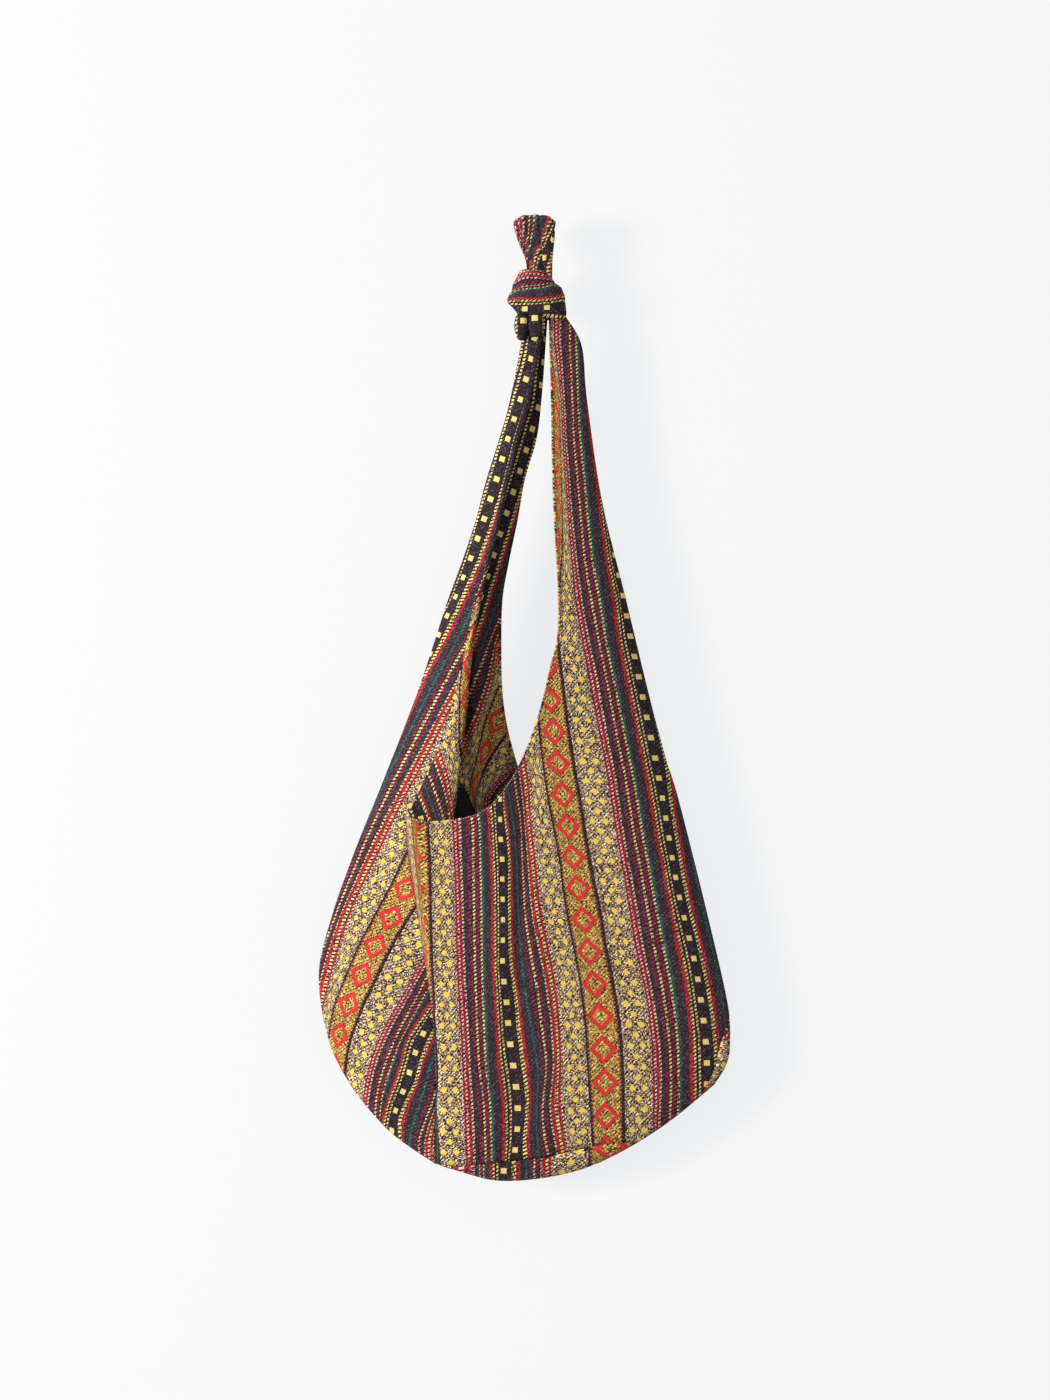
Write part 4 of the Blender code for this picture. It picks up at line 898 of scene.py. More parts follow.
def front_grids():
    """The front's left side, pleat, body and right wing: outline points and the depth of each."""
    rows = WING_ROWS + BODY_ROWS
    columns = MOUTH_COLUMNS + RIGHT_COLUMNS
    outer, valley = along(LEFT_SEAM, rows), along(VALLEY_FOLD, rows)
    free = np.vstack([along(LAPEL_HEM, WING_ROWS), along(MOUNTAIN_FOLD, BODY_ROWS)[1:]])
    side = patch(outer, valley, along([outer[0], valley[0]], LEFT_COLUMNS), along(LEFT_BOTTOM, LEFT_COLUMNS))
    lapel = patch(valley, free, along([valley[0], free[0]], LAPEL_COLUMNS),
                  along([valley[-1], free[-1]], LAPEL_COLUMNS))
    base = along([MOUTH_HEM[-1], RIGHT_SEAM[-1]], RIGHT_COLUMNS)
    body = patch(free[WING_ROWS:], along(RIGHT_SEAM_LOW, BODY_ROWS),
                 np.vstack([along(MOUTH_HEM, MOUTH_COLUMNS), base[1:]]), along(FRONT_BOTTOM, columns))
    wing = patch(along(WING_HEM, WING_ROWS), along(RIGHT_SEAM, WING_ROWS),
                 along([WING_HEM[0], RIGHT_SEAM[0]], RIGHT_COLUMNS), base)

    # The side puffs out from its seam, and the lapel lies on it by the pleat's step
    j = np.arange(rows + 1)[:, None]
    low = np.clip((j - WING_ROWS) / BODY_ROWS, 0, 1)
    i = np.arange(LEFT_COLUMNS + 1)[None, :]
    side_depth = -(SEAM_HALF + side_swell(j) * rise(i / LEFT_COLUMNS))
    side_depth = side_depth + fold_depth(side) * rise(EDGE_HOLD * i / LEFT_COLUMNS)
    i = np.arange(LAPEL_COLUMNS + 1)[None, :]
    lapel_depth = -(SEAM_HALF + side_swell(j) + pleat_lift(low) * rise(LAPEL_LIFT * i / LAPEL_COLUMNS))

    # The body starts at the lapel's free edge, is held before the pleat's layers and then swells by itself
    t = np.arange(BODY_ROWS + 1)[:, None] / BODY_ROWS
    s = np.arange(columns + 1)[None, :] / columns
    edge = lapel_depth[WING_ROWS:, -1:]
    over = front_depth(s, t)
    held = edge - pleat_lift(t) * rise(s / FOLD_ROUND)
    body_depth = over - np.maximum(over - held, 0) * (1 - soft_step((s - PLEATED) / PLEATED))
    body_depth = edge + (body_depth - edge) * soft_step(s / FOLD_ROUND) ** FOLD_SHARPNESS

    # The right wing grows from its own swell at the knot to the body's depth
    i = np.arange(RIGHT_COLUMNS + 1)[None, :]
    top = -(SEAM_HALF + sizes().wing_swell * rise(1 - i / RIGHT_COLUMNS))
    share = (np.arange(WING_ROWS + 1)[:, None] / WING_ROWS) ** WING_GROWTH
    wing_depth = top + (body_depth[:1, MOUTH_COLUMNS:] - top) * share
    body_depth = body_depth + fold_depth(body) * soft_step(s / FOLD_ROUND) * rise(EDGE_HOLD * (1 - s))
    wing_depth = wing_depth + fold_depth(wing) * rise(EDGE_HOLD * (1 - i / RIGHT_COLUMNS))
    return (side, side_depth), (lapel, lapel_depth), (body, body_depth), (wing, wing_depth)


def front_cloth(finish):
    """The front cloth: left wing and side, the pleat with its lapel, body and right wing. With its edges
    and the rows that its stitches follow."""
    (side, side_depth), (lapel, lapel_depth), (body, body_depth), (wing, wing_depth) = front_grids()
    body, body_depth = body_above_seam(body, body_depth)
    parts = [(surface(side, side_depth), leaning_weave(side, LEFT_DROPS, LEFT_STRIPES, LEFT_LEAN)),
             (surface(lapel, lapel_depth), leaning_weave(lapel, LAPEL_DROPS, LAPEL_STRIPES, LAPEL_LEAN)),
             (surface(body, body_depth), upright_weave(body, FRONT_DROPS, FRONT_STRIPES)),
             (surface(wing, wing_depth), upright_weave(wing, FRONT_DROPS, FRONT_STRIPES))]
    edges = {"mouth": edge_line(parts[2], 0, slice(0, MOUTH_COLUMNS + 1)),
             "right_wing": edge_line(parts[3], slice(None), 0),
             "lapel": edge_line(parts[1], slice(0, WING_ROWS + 1), -1)}
    rows = {"mouth": edge_line(parts[2], STITCH_ROW, slice(STITCH_ROW, MOUTH_COLUMNS + 1)),
            "right_wing": edge_line(parts[3], slice(0, -1), STITCH_ROW)}
    return cloth_object("front_cloth", parts, sizes().cloth, finish), edges, rows


def back_depth(s, t):
    """Depth of the back panel from the left seam (s = 0) to the right one, mouth to bottom."""
    return SEAM_HALF + sizes().belly_back * rise(s / BACK_SLOPE) * rise((1 - s) / BACK_SLOPE) * fade(t)


def back_cloth(finish):
    """The back cloth with its edges: wings, body and the strip that wraps forward to the bottom seam."""
    left_seam = along(LEFT_SEAM, WING_ROWS + BODY_ROWS)
    base_left = along([left_seam[WING_ROWS], BACK_LEFT_HEM[-1]], BACK_COLUMNS)
    base_right = along([BACK_RIGHT_HEM[-1], RIGHT_SEAM[-1]], BACK_COLUMNS)
    top = np.vstack([base_left, along(BACK_MOUTH_HEM, BACK_MOUTH_COLUMNS)[1:], base_right[1:]])
    columns = len(top) - 1
    body = patch(left_seam[WING_ROWS:], along(RIGHT_SEAM_LOW, BODY_ROWS), top, along(BOTTOM_SEAM, columns))
    left = patch(left_seam[:WING_ROWS + 1], along(BACK_LEFT_HEM, WING_ROWS),
                 along([left_seam[0], BACK_LEFT_HEM[0]], BACK_COLUMNS), base_left)
    right = patch(along(BACK_RIGHT_HEM, WING_ROWS), along(RIGHT_SEAM, WING_ROWS),
                  along([BACK_RIGHT_HEM[0], RIGHT_SEAM[0]], BACK_COLUMNS), base_right)
    share = (np.arange(WING_ROWS + 1)[:, None] / WING_ROWS) ** WING_GROWTH
    i = np.arange(BACK_COLUMNS + 1)[None, :]

    def wing_depth(first, inward):
        """Depth of a wing whose columns start at this one of the body; inward counts them from its seam."""
        knot = SEAM_HALF + sizes().wing_swell * rise(inward / BACK_COLUMNS)
        return knot + (back_depth((first + i) / columns, 0) - knot) * share

    t = np.arange(BODY_ROWS + 1)[:, None] / BODY_ROWS
    s = np.arange(columns + 1)[None, :] / columns
    first = BACK_COLUMNS + BACK_MOUTH_COLUMNS
    strip, strip_depth = body_below_seam(*front_grids()[2])
    left_depth, right_depth = wing_depth(0, i), wing_depth(first, BACK_COLUMNS - i)
    parts = [(surface(left, left_depth), leaning_weave(left, BACK_WING_DROPS, BACK_WING_STRIPES, BACK_LEAN)),
             (surface(body, back_depth(s, t)), upright_weave(body, BACK_DROPS, BACK_STRIPES)),
             (surface(right, right_depth), upright_weave(right, BACK_DROPS, BACK_STRIPES)),
             (surface(strip, strip_depth), upright_weave(strip, STRIP_DROPS, STRIP_STRIPES))]
    edges = {"back_left": edge_line(parts[0], slice(None), -1),
             "back_right": edge_line(parts[2], slice(None), 0),
             "back_mouth": edge_line(parts[1], 0, slice(BACK_COLUMNS, first + 1))}
    return cloth_object("back_cloth", parts, sizes().cloth, finish), edges


def sheet_tree(item):
    """A piece of cloth as a tree that lines can be cast against."""
    spots = [tuple(vertex.co) for vertex in item.data.vertices]
    return BVHTree.FromPolygons(spots, [tuple(face.vertices) for face in item.data.polygons])


def back_depth_at(tree, x, z):
    """Depth at which a line from the middle plane straight to the back meets a sheet."""
    found = tree.ray_cast((x, 0, z), (0, 1, 0))[0]
    if found is None:
        raise ValueError(f"no cloth at {x:.3f}, {z:.3f}")
    return found.y


def facing_cloth(back, finish):
    """The self-fabric facing that shows inside the mouth, sewn to the back panel, with one standing fold."""
    outer, inner = along(FACING_SEAM, FACING_ROWS), along(FACING_HEM, FACING_ROWS)
    grid = patch(outer, inner, along([outer[0], inner[0]], FACING_COLUMNS),
                 along(FACING_FOOT, FACING_COLUMNS))
    tree = sheet_tree(back)
    x, z = place(grid)
    depth = np.array([[back_depth_at(tree, a, b) for a, b in zip(*pair)] for pair in zip(x, z)])
    j = np.arange(FACING_ROWS + 1)[:, None] / FACING_ROWS
    i = np.arange(FACING_COLUMNS + 1)[None, :] / FACING_COLUMNS
    stands = CREASE * np.sin(math.pi * j) * np.exp(-((i - CREASE_PLACE) / CREASE_WIDTH) ** 2)
    stands = stands + FACING_FOOT_OUT * soft_step((grid[..., 0] - FACING_FOOT_START) / FACING_FOOT_RUN)
    points = surface(grid, depth - FACING_LIES - stands)
    weave = leaning_weave(grid, BACK_LEFT_DROPS, BACK_LEFT_STRIPES, BACK_LEAN)
    return cloth_object("mouth_facing_cloth", [(points, weave)], FACING, finish)


def nearest_front(tree, point):
    """How far before the middle plane the front cloth lies at its nearest place round a point."""
    around = []
    for drop_step in LINING_FELT[0]:
        for across_step in LINING_FELT[1]:
            x, z = place(point + (drop_step * LINING_SPAN, across_step * LINING_SPAN))
            met = tree.ray_cast((x, 0, z), (0, -1, 0))[0]
            if met is not None:
                around.append(abs(met.y))
    return min(around)


def lining_cloth(front, back, finish):
    """The black lining: a pouch that hangs from the facing and is open at the top."""
    seam = along(LEFT_SEAM, LINING_SEAM_STEPS)
    outer = along([tuple(point) for point in seam if point[0] > LINING_TOP], LINING_ROWS)
    inner = along(RIGHT_SEAM_LOW[1:], LINING_ROWS)
    top = along([tuple(outer[0]), LINING_DIP, tuple(inner[0])], LINING_COLUMNS)
    grid = patch(outer, inner, top, along(BOTTOM_SEAM, LINING_COLUMNS))
    side = LINING_INSET / sizes().width
    foot = LINING_FOOT / (sizes().drop - LINING_TOP * MM)
    shares = np.linspace(side, 1 - side, LINING_COLUMNS + 1)
    rows = np.linspace(0, 1 - foot, LINING_ROWS + 1)
    grid = resampled(grid, LINING_ROWS * np.outer(rows, np.ones(LINING_COLUMNS + 1)))
    grid = resampled(grid.swapaxes(0, 1), LINING_COLUMNS * np.outer(shares, np.ones(LINING_ROWS + 1)))
    grid = grid.swapaxes(0, 1)
    front_tree, back_tree = sheet_tree(front), sheet_tree(back)
    rings = []
    across_share = rise(EDGE_HOLD * shares) * rise(EDGE_HOLD * (1 - shares))
    for j, line in enumerate(grid):
        ring = []
        for lower, point in zip(LINING_FRONT_LOWER * (1 - j / LINING_ROWS) * across_share, line):
            x, z = place(point + (lower, 0))
            ring.append((x, LINING_CLEAR - nearest_front(front_tree, point + (lower, 0)), z))
        for point in reversed(line):
            x, z = place(point)
            ring.append((x, back_depth_at(back_tree, x, z) - LINING_CLEAR, z))
        rings.append(ring + ring[:1])
    tube = np.array(rings)
    half = LINING_COLUMNS + 1
    foot_strip = np.array([tube[-1][:half], tube[-1][half:2 * half][::-1]])
    parts = [(points, points[..., (0, 2)] / MM) for points in (tube, foot_strip)]
    return cloth_object("lining_cloth", parts, LINING, finish, -1)


def loop_sheet():
    """The strap over the hook: up the front, round the bend and down the back, wider at the bend."""
    s = sizes()
    radius = (LOOP_GAP + LOOP_CLOTH) / 2
    centre = -LOOP_GAP / 2
    foot = -s.knot_top - s.knot_height * LOOP_SUNK
    leg = centre - foot
    whole = 2 * leg + math.pi * radius
    run = np.linspace(0, whole, LOOP_ROWS + 1)
    angle = np.clip((run - leg) / radius, 0, math.pi)
    z = centre + radius * np.sin(angle) - np.clip(leg - run, 0, None) - np.clip(run - whole + leg, 0, None)
    narrow = soft_step(-z / s.knot_top)
    half = (LOOP_WIDTH + (LOOP_WAIST - LOOP_WIDTH) * narrow) / 2
    side = np.linspace(-1, 1, LOOP_COLUMNS + 1)[None, :]
    depth = -radius * np.cos(angle) * (1 - LOOP_PINCH * narrow)
    curl = 1 + LOOP_CURL * narrow[:, None] * np.cos(math.pi * side)
    x = (LOOP_LEAN * narrow + LOOP_TOP_SHIFT * (1 - narrow))[:, None] + half[:, None] * side
    folds = sum(size * np.sin(side * waves + start) for size, waves, start in LOOP_FOLDS)
    outward = np.stack([-np.cos(angle), np.sin(angle)], axis=-1)[:, None] * folds[..., None]
    height = z[:, None] - LOOP_DROOP * (1 - narrow)[:, None] * side ** LOOP_DROOP_POWER
    points = np.stack([x, depth[:, None] * curl + outward[..., 0], height + outward[..., 1]], axis=-1)
    seen = np.stack([-z[:, None] / MM * np.ones_like(x), x / MM], axis=-1)
    across = stripe_places(LOOP_DROPS, LOOP_STRIPES, seen)
    return points, np.stack([across, seen[..., 0] + LOOP_RUN], axis=-1)


def rolled_hem(name, line, turned, finish):
    """The rolled edge of the cloth. The stripes run on over it, and turned mm of them lie under it."""
    points, weave = line
    forward = np.gradient(points, axis=0)
    forward /= np.linalg.norm(forward, axis=1, keepdims=True)
    out = np.array([0, -1.0, 0]) + forward * forward[:, 1:2]
    out /= np.linalg.norm(out, axis=1, keepdims=True)
    side = np.cross(forward, out)
    turn = np.linspace(0, 2 * math.pi, HEM_POINTS + 1)[None, :, None]
    tube = points[:, None] + HEM_RADIUS * (np.cos(turn) * out[:, None] + np.sin(turn) * side[:, None])
    shown = weave[:, None] + np.array([turned, 0]) * (1 + HEM_TURN * np.cos(turn))
    return cloth_object(name, [(tube, shown)], 0, finish)


def node(tree, kind, *values, stops=(), **settings):
    """Adds a node with its settings. Each value goes to the next input in use, as a link if it comes from a
    node; None leaves the input as it is. Stops are the hard-edged fields of a colour ramp."""
    made = tree.nodes.new(kind)
    for name, value in settings.items():
        setattr(made, name, value)
    if stops:
        made.color_ramp.interpolation = "CONSTANT"
        made.color_ramp.elements.remove(made.color_ramp.elements[1])
    for index, (position, colour) in enumerate(stops):
        element = made.color_ramp.elements.new(position) if index else made.color_ramp.elements[0]
        element.position, element.color = position, colour
    for socket, value in zip([socket for socket in made.inputs if not socket.is_unavailable], values):
        if isinstance(value, bpy.types.NodeSocket):
            tree.links.new(value, socket)
        elif value is not None:
            socket.default_value = value
    return next((socket for socket in made.outputs if not socket.is_unavailable), None)


def stitch_tree():
    """Geometry nodes that lay stitches of one length at one pitch along a line."""
    tree = bpy.data.node_groups.new("row of stitches", "GeometryNodeTree")
    tree.interface.new_socket("Line", in_out="INPUT", socket_type="NodeSocketGeometry")
    for name in ("Pitch", "Length", "Thickness"):
        tree.interface.new_socket(name, in_out="INPUT", socket_type="NodeSocketFloat")
    tree.interface.new_socket("Thread", in_out="INPUT", socket_type="NodeSocketMaterial")
    tree.interface.new_socket("Stitches", in_out="OUTPUT", socket_type="NodeSocketGeometry")
    line, pitch, run, thickness, thread = node(tree, "NodeGroupInput").node.outputs[:5]
    places = node(tree, "GeometryNodeCurveToPoints", line, pitch, mode="LENGTH")
    tangent = places.node.outputs["Tangent"]
    turned = node(tree, "FunctionNodeAlignRotationToVector", None, None, tangent, axis="Z")
    stitch = node(tree, "GeometryNodeMeshUVSphere", *STITCH_FORM)
    size = node(tree, "ShaderNodeCombineXYZ", thickness, thickness, run)
    laid = node(tree, "GeometryNodeInstanceOnPoints", places, None, stitch, None, None, turned, size)
    real = node(tree, "GeometryNodeRealizeInstances", laid)
    node(tree, "NodeGroupOutput", node(tree, "GeometryNodeSetMaterial", real, None, thread))
    return tree


def stitches(name, tree, points, thread, stitch):
    """A row of stitches along points of the cloth; stitch is their pitch, length and thickness in mm."""
    curve = bpy.data.curves.new(name, "CURVE")
    curve.dimensions = "3D"
    spline = curve.splines.new("POLY")
    spline.points.add(len(points) - 1)
    spline.points.foreach_set("co", [value for x, y, z in points for value in (x, y - STITCH_OUT, z, 1)])
    item = bpy.data.objects.new(name, curve)
    bpy.context.scene.collection.objects.link(item)
    modifier = item.modifiers.new("stitches", "NODES")
    modifier.node_group = tree
    inputs = {socket.name: socket.identifier for socket in tree.interface.items_tree}
    for key, value in zip(("Pitch", "Length", "Thickness"), stitch):
        modifier[inputs[key]] = value * MM
    modifier[inputs["Thread"]] = thread
    mesh = bpy.data.meshes.new_from_object(item.evaluated_get(bpy.context.evaluated_depsgraph_get()))
    bpy.data.objects.remove(item)
    made = bpy.data.objects.new(name, mesh)
    bpy.context.scene.collection.objects.link(made)
    return made


def ring_form(middle_x, middle_y, half_x, half_y, z):
    """Rings of points round a rounded form, level by level, with the first point of each ring again."""
    turn = np.linspace(0, 2 * math.pi, KNOT_POINTS + 1)[None, :]
    cos, sin = np.cos(turn), np.sin(turn)
    squared = (np.abs(cos) ** KNOT_SQUARENESS + np.abs(sin) ** KNOT_SQUARENESS) ** (-1 / KNOT_SQUARENESS)
    x = middle_x[:, None] + half_x[:, None] * cos * squared
    y = middle_y[:, None] + half_y[:, None] * sin * squared
    return np.stack([x, y, np.broadcast_to(z[:, None], x.shape)], axis=-1)


def knot_band():
    """The band of folded strap that goes round the knot, with its stripes lying along it."""
    level = np.array([row[0] for row in KNOT_OUTLINE])
    fine = np.linspace(level[0], level[-1], KNOT_ROWS + 1)
    left, right, deep = (np.interp(fine, level, [row[k] for row in KNOT_OUTLINE]) * MM for k in (1, 2, 3))
    rings = ring_form((left + right) / 2, 0 * fine, (right - left) / 2, deep, -fine * MM)
    seen = np.stack([rings[..., 0] / MM, -rings[..., 2] / MM], axis=-1)
    across = stripe_places(KNOT_PLACES, KNOT_STRIPES, seen)
    crease = sum(size * np.exp(-((across - middle) / width) ** 2) for middle, width, size in KNOT_CREASES)
    away = rings[..., :2] - np.stack([(left + right) / 2, 0 * fine], axis=-1)[:, None]
    away /= np.linalg.norm(away, axis=-1, keepdims=True)
    rings[..., :2] += away * crease[..., None] * MM
    return rings, np.stack([across, seen[..., 0] + KNOT_RUN], axis=-1)


def strap_turn(middle, half_sizes, square):
    """One rounded lobe of the strap's turn under the knot; its stripes run down it."""
    angle = np.linspace(TURN_ENDS, math.pi - TURN_ENDS, KNOT_ROWS + 1)
    full = np.sin(angle) ** TURN_FULLNESS
    rings = ring_form(middle[0] + 0 * angle, middle[1] + 0 * angle, half_sizes[0] * full,
                      half_sizes[1] * full, middle[2] + half_sizes[2] * np.cos(angle))
    across = rings[..., 0] / MM - square[0]
    return rings, np.stack([across, -rings[..., 2] / MM - square[1] + SQUARE_START], axis=-1)


def knotted_strap(finish):
    """The folded loop over the hook, and the knot under it with the strap's turns."""
    s = sizes()
    loop = cloth_object("hanging_loop_cloth", [loop_sheet()], LOOP_CLOTH, finish)
    spans = np.array([s.knot_width, s.knot_depth, s.knot_height])
    foot = np.array([0, 0, -s.knot_top - s.knot_height])
    turns = [strap_turn(foot + np.array(middle) * spans, np.array(half) * spans, square)
             for middle, half, square in TURNS]
    return loop, cloth_object("knot_cloth", [knot_band()] + turns, 0, finish)


def new_material(name, roughness, reflection=0.5):
    """A material of this roughness and strength of reflection: itself, its nodes and its surface."""
    material = bpy.data.materials.new(name)
    material.use_nodes = True
    shader = material.node_tree.nodes["Principled BSDF"]
    shader.inputs["Roughness"].default_value = roughness
    shader.inputs["Specular IOR Level"].default_value = reflection
    return material, material.node_tree, shader


def rounded(name, across, half, power):
    """Steps of the weave that give the distance from a motif's middle: 1 at its rounded edge."""
    return (("across", "DIVIDE", across, half[0]), ("across", "POWER", "across", power),
            ("run", "DIVIDE", "run", half[1]), ("run", "POWER", "run", power),
            (name, "ADD", "across", "run"))


# How the weave is drawn, in steps: name, operation, and what that works on, by name or as a number. u is
# the place across the stripes and v the one along them
WEAVE_STEPS = (
    # Threads in rows, every second row half a thread further on, each with a chance of its own
    ("thread_row", "DIVIDE", "v", THREAD), ("thread_row", "FLOOR", "thread_row"),
    ("thread_column", "DIVIDE", "u", THREAD),
    ("thread_column", "MULTIPLY_ADD", "thread_row", ROW_SHIFT, "thread_column"),
    ("thread_column", "FLOOR", "thread_column"), ("thread", "PAIR", "thread_column", "thread_row"),
    ("chance", "CHANCE", "thread"),
    # The diagonal lines of the twill, and the fleck that both make
    ("diagonal", "ADD", "u", "v"), ("wale", "DIVIDE", "diagonal", WALE_PITCH / 2),
    ("wale", "PINGPONG", "wale", 1.0), ("wale", "MULTIPLY", "wale", WALE_SHARE),
    ("fleck", "MULTIPLY_ADD", "chance", 1 - WALE_SHARE, "wale"),
    # The plain stripes, one ramp for each half of the repeat
    ("second_half", "GREATER_THAN", "share", 0.5),
    ("colour", "MIX", "second_half", "left_half", "right_half"),
    # Dark gaps between the beads of the dotted stripes
    ("bead", "MULTIPLY_ADD", "u", DOT_LEAN, "v"), ("bead", "DIVIDE", "bead", DOT_PITCH),
    ("bead", "FRACT", "bead"), ("gap", "GREATER_THAN", "bead", DOT_SHARE),
    ("gap", "MULTIPLY", "dotted", "gap"), ("colour", "MIX", "gap", "colour", "ground_yarn"),
    # The dark ground between the threads, and single thick pale threads
    ("ground", "LESS_THAN", "fleck", GROUND_SHARE), ("ground", "MULTIPLY", "ground", GROUND_SHOWS),
    ("colour", "MIX", "ground", "colour", "ground_yarn"), ("slub", "GREATER_THAN", "fleck", SLUB_SHARE),
    ("slub", "MULTIPLY", "slub", SLUB_SHOWS), ("colour", "MIX", "slub", "colour", "slub_yarn"),
    # The two flecked bands
    ("threads", "HEATHER", "fleck"), ("colour", "MIX", "on_heather", "colour", "threads"),
    ("threads", "OLIVE", "fleck"), ("colour", "MIX", "on_olive", "colour", "threads"),
    # Diamonds on the olive band, as rings with ragged edges
    ("flat", "MULTIPLY", "share", REPEAT), ("across", "SUBTRACT", "flat", DIAMOND_CENTRE),
    ("across", "ABSOLUTE", "across"), ("run", "PINGPONG", "v", DIAMOND_PITCH / 2),
    *rounded("diamond", "across", DIAMOND_HALF, DIAMOND_POWER),
    ("outside", "MULTIPLY_ADD", "chance", DIAMOND_RAGGED, 1 - DIAMOND_RAGGED / 2),
    ("inside", "MULTIPLY", "outside", DIAMOND_INSIDE), ("inside", "GREATER_THAN", "diamond", "inside"),
    ("ring", "LESS_THAN", "diamond", "outside"), ("ring", "MULTIPLY", "inside", "ring"),
    ("colour", "MIX", "ring", "colour", "scarlet"),
    # Squares down the black band, where the repeat starts anew
    ("across", "PINGPONG", "u", REPEAT / 2), ("across", "LESS_THAN", "across", SQUARE_HALF[0]),
    ("run", "SUBTRACT", "v", SQUARE_START), ("run", "PINGPONG", "run", SQUARE_PITCH / 2),
    ("run", "LESS_THAN", "run", SQUARE_HALF[1]), ("square", "MULTIPLY", "across", "run"),
    ("colour", "MIX", "square", "colour", "yellow"),
    # Stars down the heather bands, by turns two side by side and one alone
    ("off", "SUBTRACT", "flat", STAR_MIDDLE), ("off", "ABSOLUTE", "off"),
    ("off", "SUBTRACT", "off", STAR_AWAY), ("off", "ABSOLUTE", "off"),
    ("across", "SUBTRACT", "off", STAR_PAIR), ("across", "ABSOLUTE", "across"),
    ("run", "PINGPONG", "v", SQUARE_PITCH / 2), *rounded("pair", "across", STAR_HALF, MOTIF_POWER),
    ("run", "ADD", "v", SQUARE_PITCH / 2), ("run", "PINGPONG", "run", SQUARE_PITCH / 2),
    *rounded("single", "off", STAR_HALF, MOTIF_POWER), ("stars", "MINIMUM", "pair", "single"),
    ("ragged", "MULTIPLY_ADD", "chance", MOTIF_RAGGED, 1 - MOTIF_RAGGED / 2),
    ("stars", "LESS_THAN", "stars", "ragged"), ("colour", "MIX", "stars", "colour", "gold"),
    # Lighter and darker threads, less so in the motifs
    ("motif", "MAXIMUM", "ring", "square"), ("motif", "MAXIMUM", "motif", "stars"),
    ("spread", "MULTIPLY", "motif", MOTIF_EVEN), ("spread", "SUBTRACT", 1.0, "spread"),
    ("spread", "MULTIPLY", "spread", FLECK_SPREAD), ("tone", "SUBTRACT", "fleck", 0.5),
    ("tone", "MULTIPLY_ADD", "tone", "spread", FLECK_MIDDLE),
    ("colour", "TONE", None, None, "tone", None, "colour"),
    # The relief of motifs, ribs and threads
    ("twill", "MULTIPLY", "diagonal", 2 * math.pi / TWILL_PITCH), ("twill", "SINE", "twill"),
    ("height", "MULTIPLY_ADD", "twill", TWILL_RISE, "chance"),
    ("height", "MULTIPLY_ADD", "motif", MOTIF_RISE, "height"), ("relief", "BUMP", *RELIEF, None, "height"),
)


def jacquard_material():
    """Yarn-dyed cotton jacquard: coloured threads float over a dark ground, so each field is flecked."""
    material, tree, shader = new_material("jacquard cotton", roughness=0.88, reflection=0.25)
    u, v, _ = node(tree, "ShaderNodeSeparateXYZ", node(tree, "ShaderNodeUVMap", uv_map=WEAVE)).node.outputs
    made = {name: tuple(getattr(bpy.context.scene.bag_yarns, name)) for name in BagYarns.__annotations__}
    # A ramp holds 32 fields at most, so the repeat takes two; the kinds of stripe need one
    stops = [(start / REPEAT_PX, made[name]) for start, name, _ in STRIPES]
    left = [stop for stop in stops if stop[0] < 0.5]
    right = [(0, left[-1][1])] + [stop for stop in stops if stop[0] >= 0.5]
    kinds = [(start / REPEAT_PX, KINDS[kind]) for start, _, kind in STRIPES]
    kept = [kind for before, kind in zip([(0, None)] + kinds, kinds) if before[1] != kind[1]]
    share = node(tree, "ShaderNodeMath", node(tree, "ShaderNodeMath", u, REPEAT, operation="DIVIDE"),
                 operation="FRACT")
    dotted, heather, olive = node(tree, "ShaderNodeSeparateColor",
                                  node(tree, "ShaderNodeValToRGB", share, stops=kept)).node.outputs
    made.update(u=u, v=v, share=share, dotted=dotted, on_heather=heather, on_olive=olive,
                left_half=node(tree, "ShaderNodeValToRGB", share, stops=left),
                right_half=node(tree, "ShaderNodeValToRGB", share, stops=right),
                ground_yarn=hue(DOT_GROUND), slub_yarn=hue(SLUB))
    nodes = {"MIX": ("ShaderNodeMix", {"data_type": "RGBA"}), "PAIR": ("ShaderNodeCombineXYZ", {}),
             "CHANCE": ("ShaderNodeTexWhiteNoise", {"noise_dimensions": "2D"}),
             "HEATHER": ("ShaderNodeValToRGB", {"stops": [(at, hue(code)) for at, code in HEATHER_THREADS]}),
             "OLIVE": ("ShaderNodeValToRGB", {"stops": [(at, hue(code)) for at, code in OLIVE_THREADS]}),
             "TONE": ("ShaderNodeHueSaturation", {}), "BUMP": ("ShaderNodeBump", {})}
    for name, operation, *values in WEAVE_STEPS:
        kind, settings = nodes.get(operation, ("ShaderNodeMath", {"operation": operation}))
        made[name] = node(tree, kind, *[made.get(value, value) for value in values], **settings)
    tree.links.new(made["colour"], shader.inputs["Base Color"])
    tree.links.new(made["relief"], shader.inputs["Normal"])
    return material


def thread_material(name, code):
    """Spun cotton sewing thread: matt, with the darker lines of its twist painted in as shade."""
    material, tree, shader = new_material(name, roughness=0.8)
    spot = node(tree, "ShaderNodeTexCoord").node.outputs["Object"]
    twist = node(tree, "ShaderNodeTexNoise", spot, *TWIST_NOISE)
    pale = hue(code)
    dark = (*(TWIST_SHADE * value for value in pale[:3]), 1)
    colour = node(tree, "ShaderNodeMix", twist, dark, pale, data_type="RGBA")
    tree.links.new(colour, shader.inputs["Base Color"])
    return material


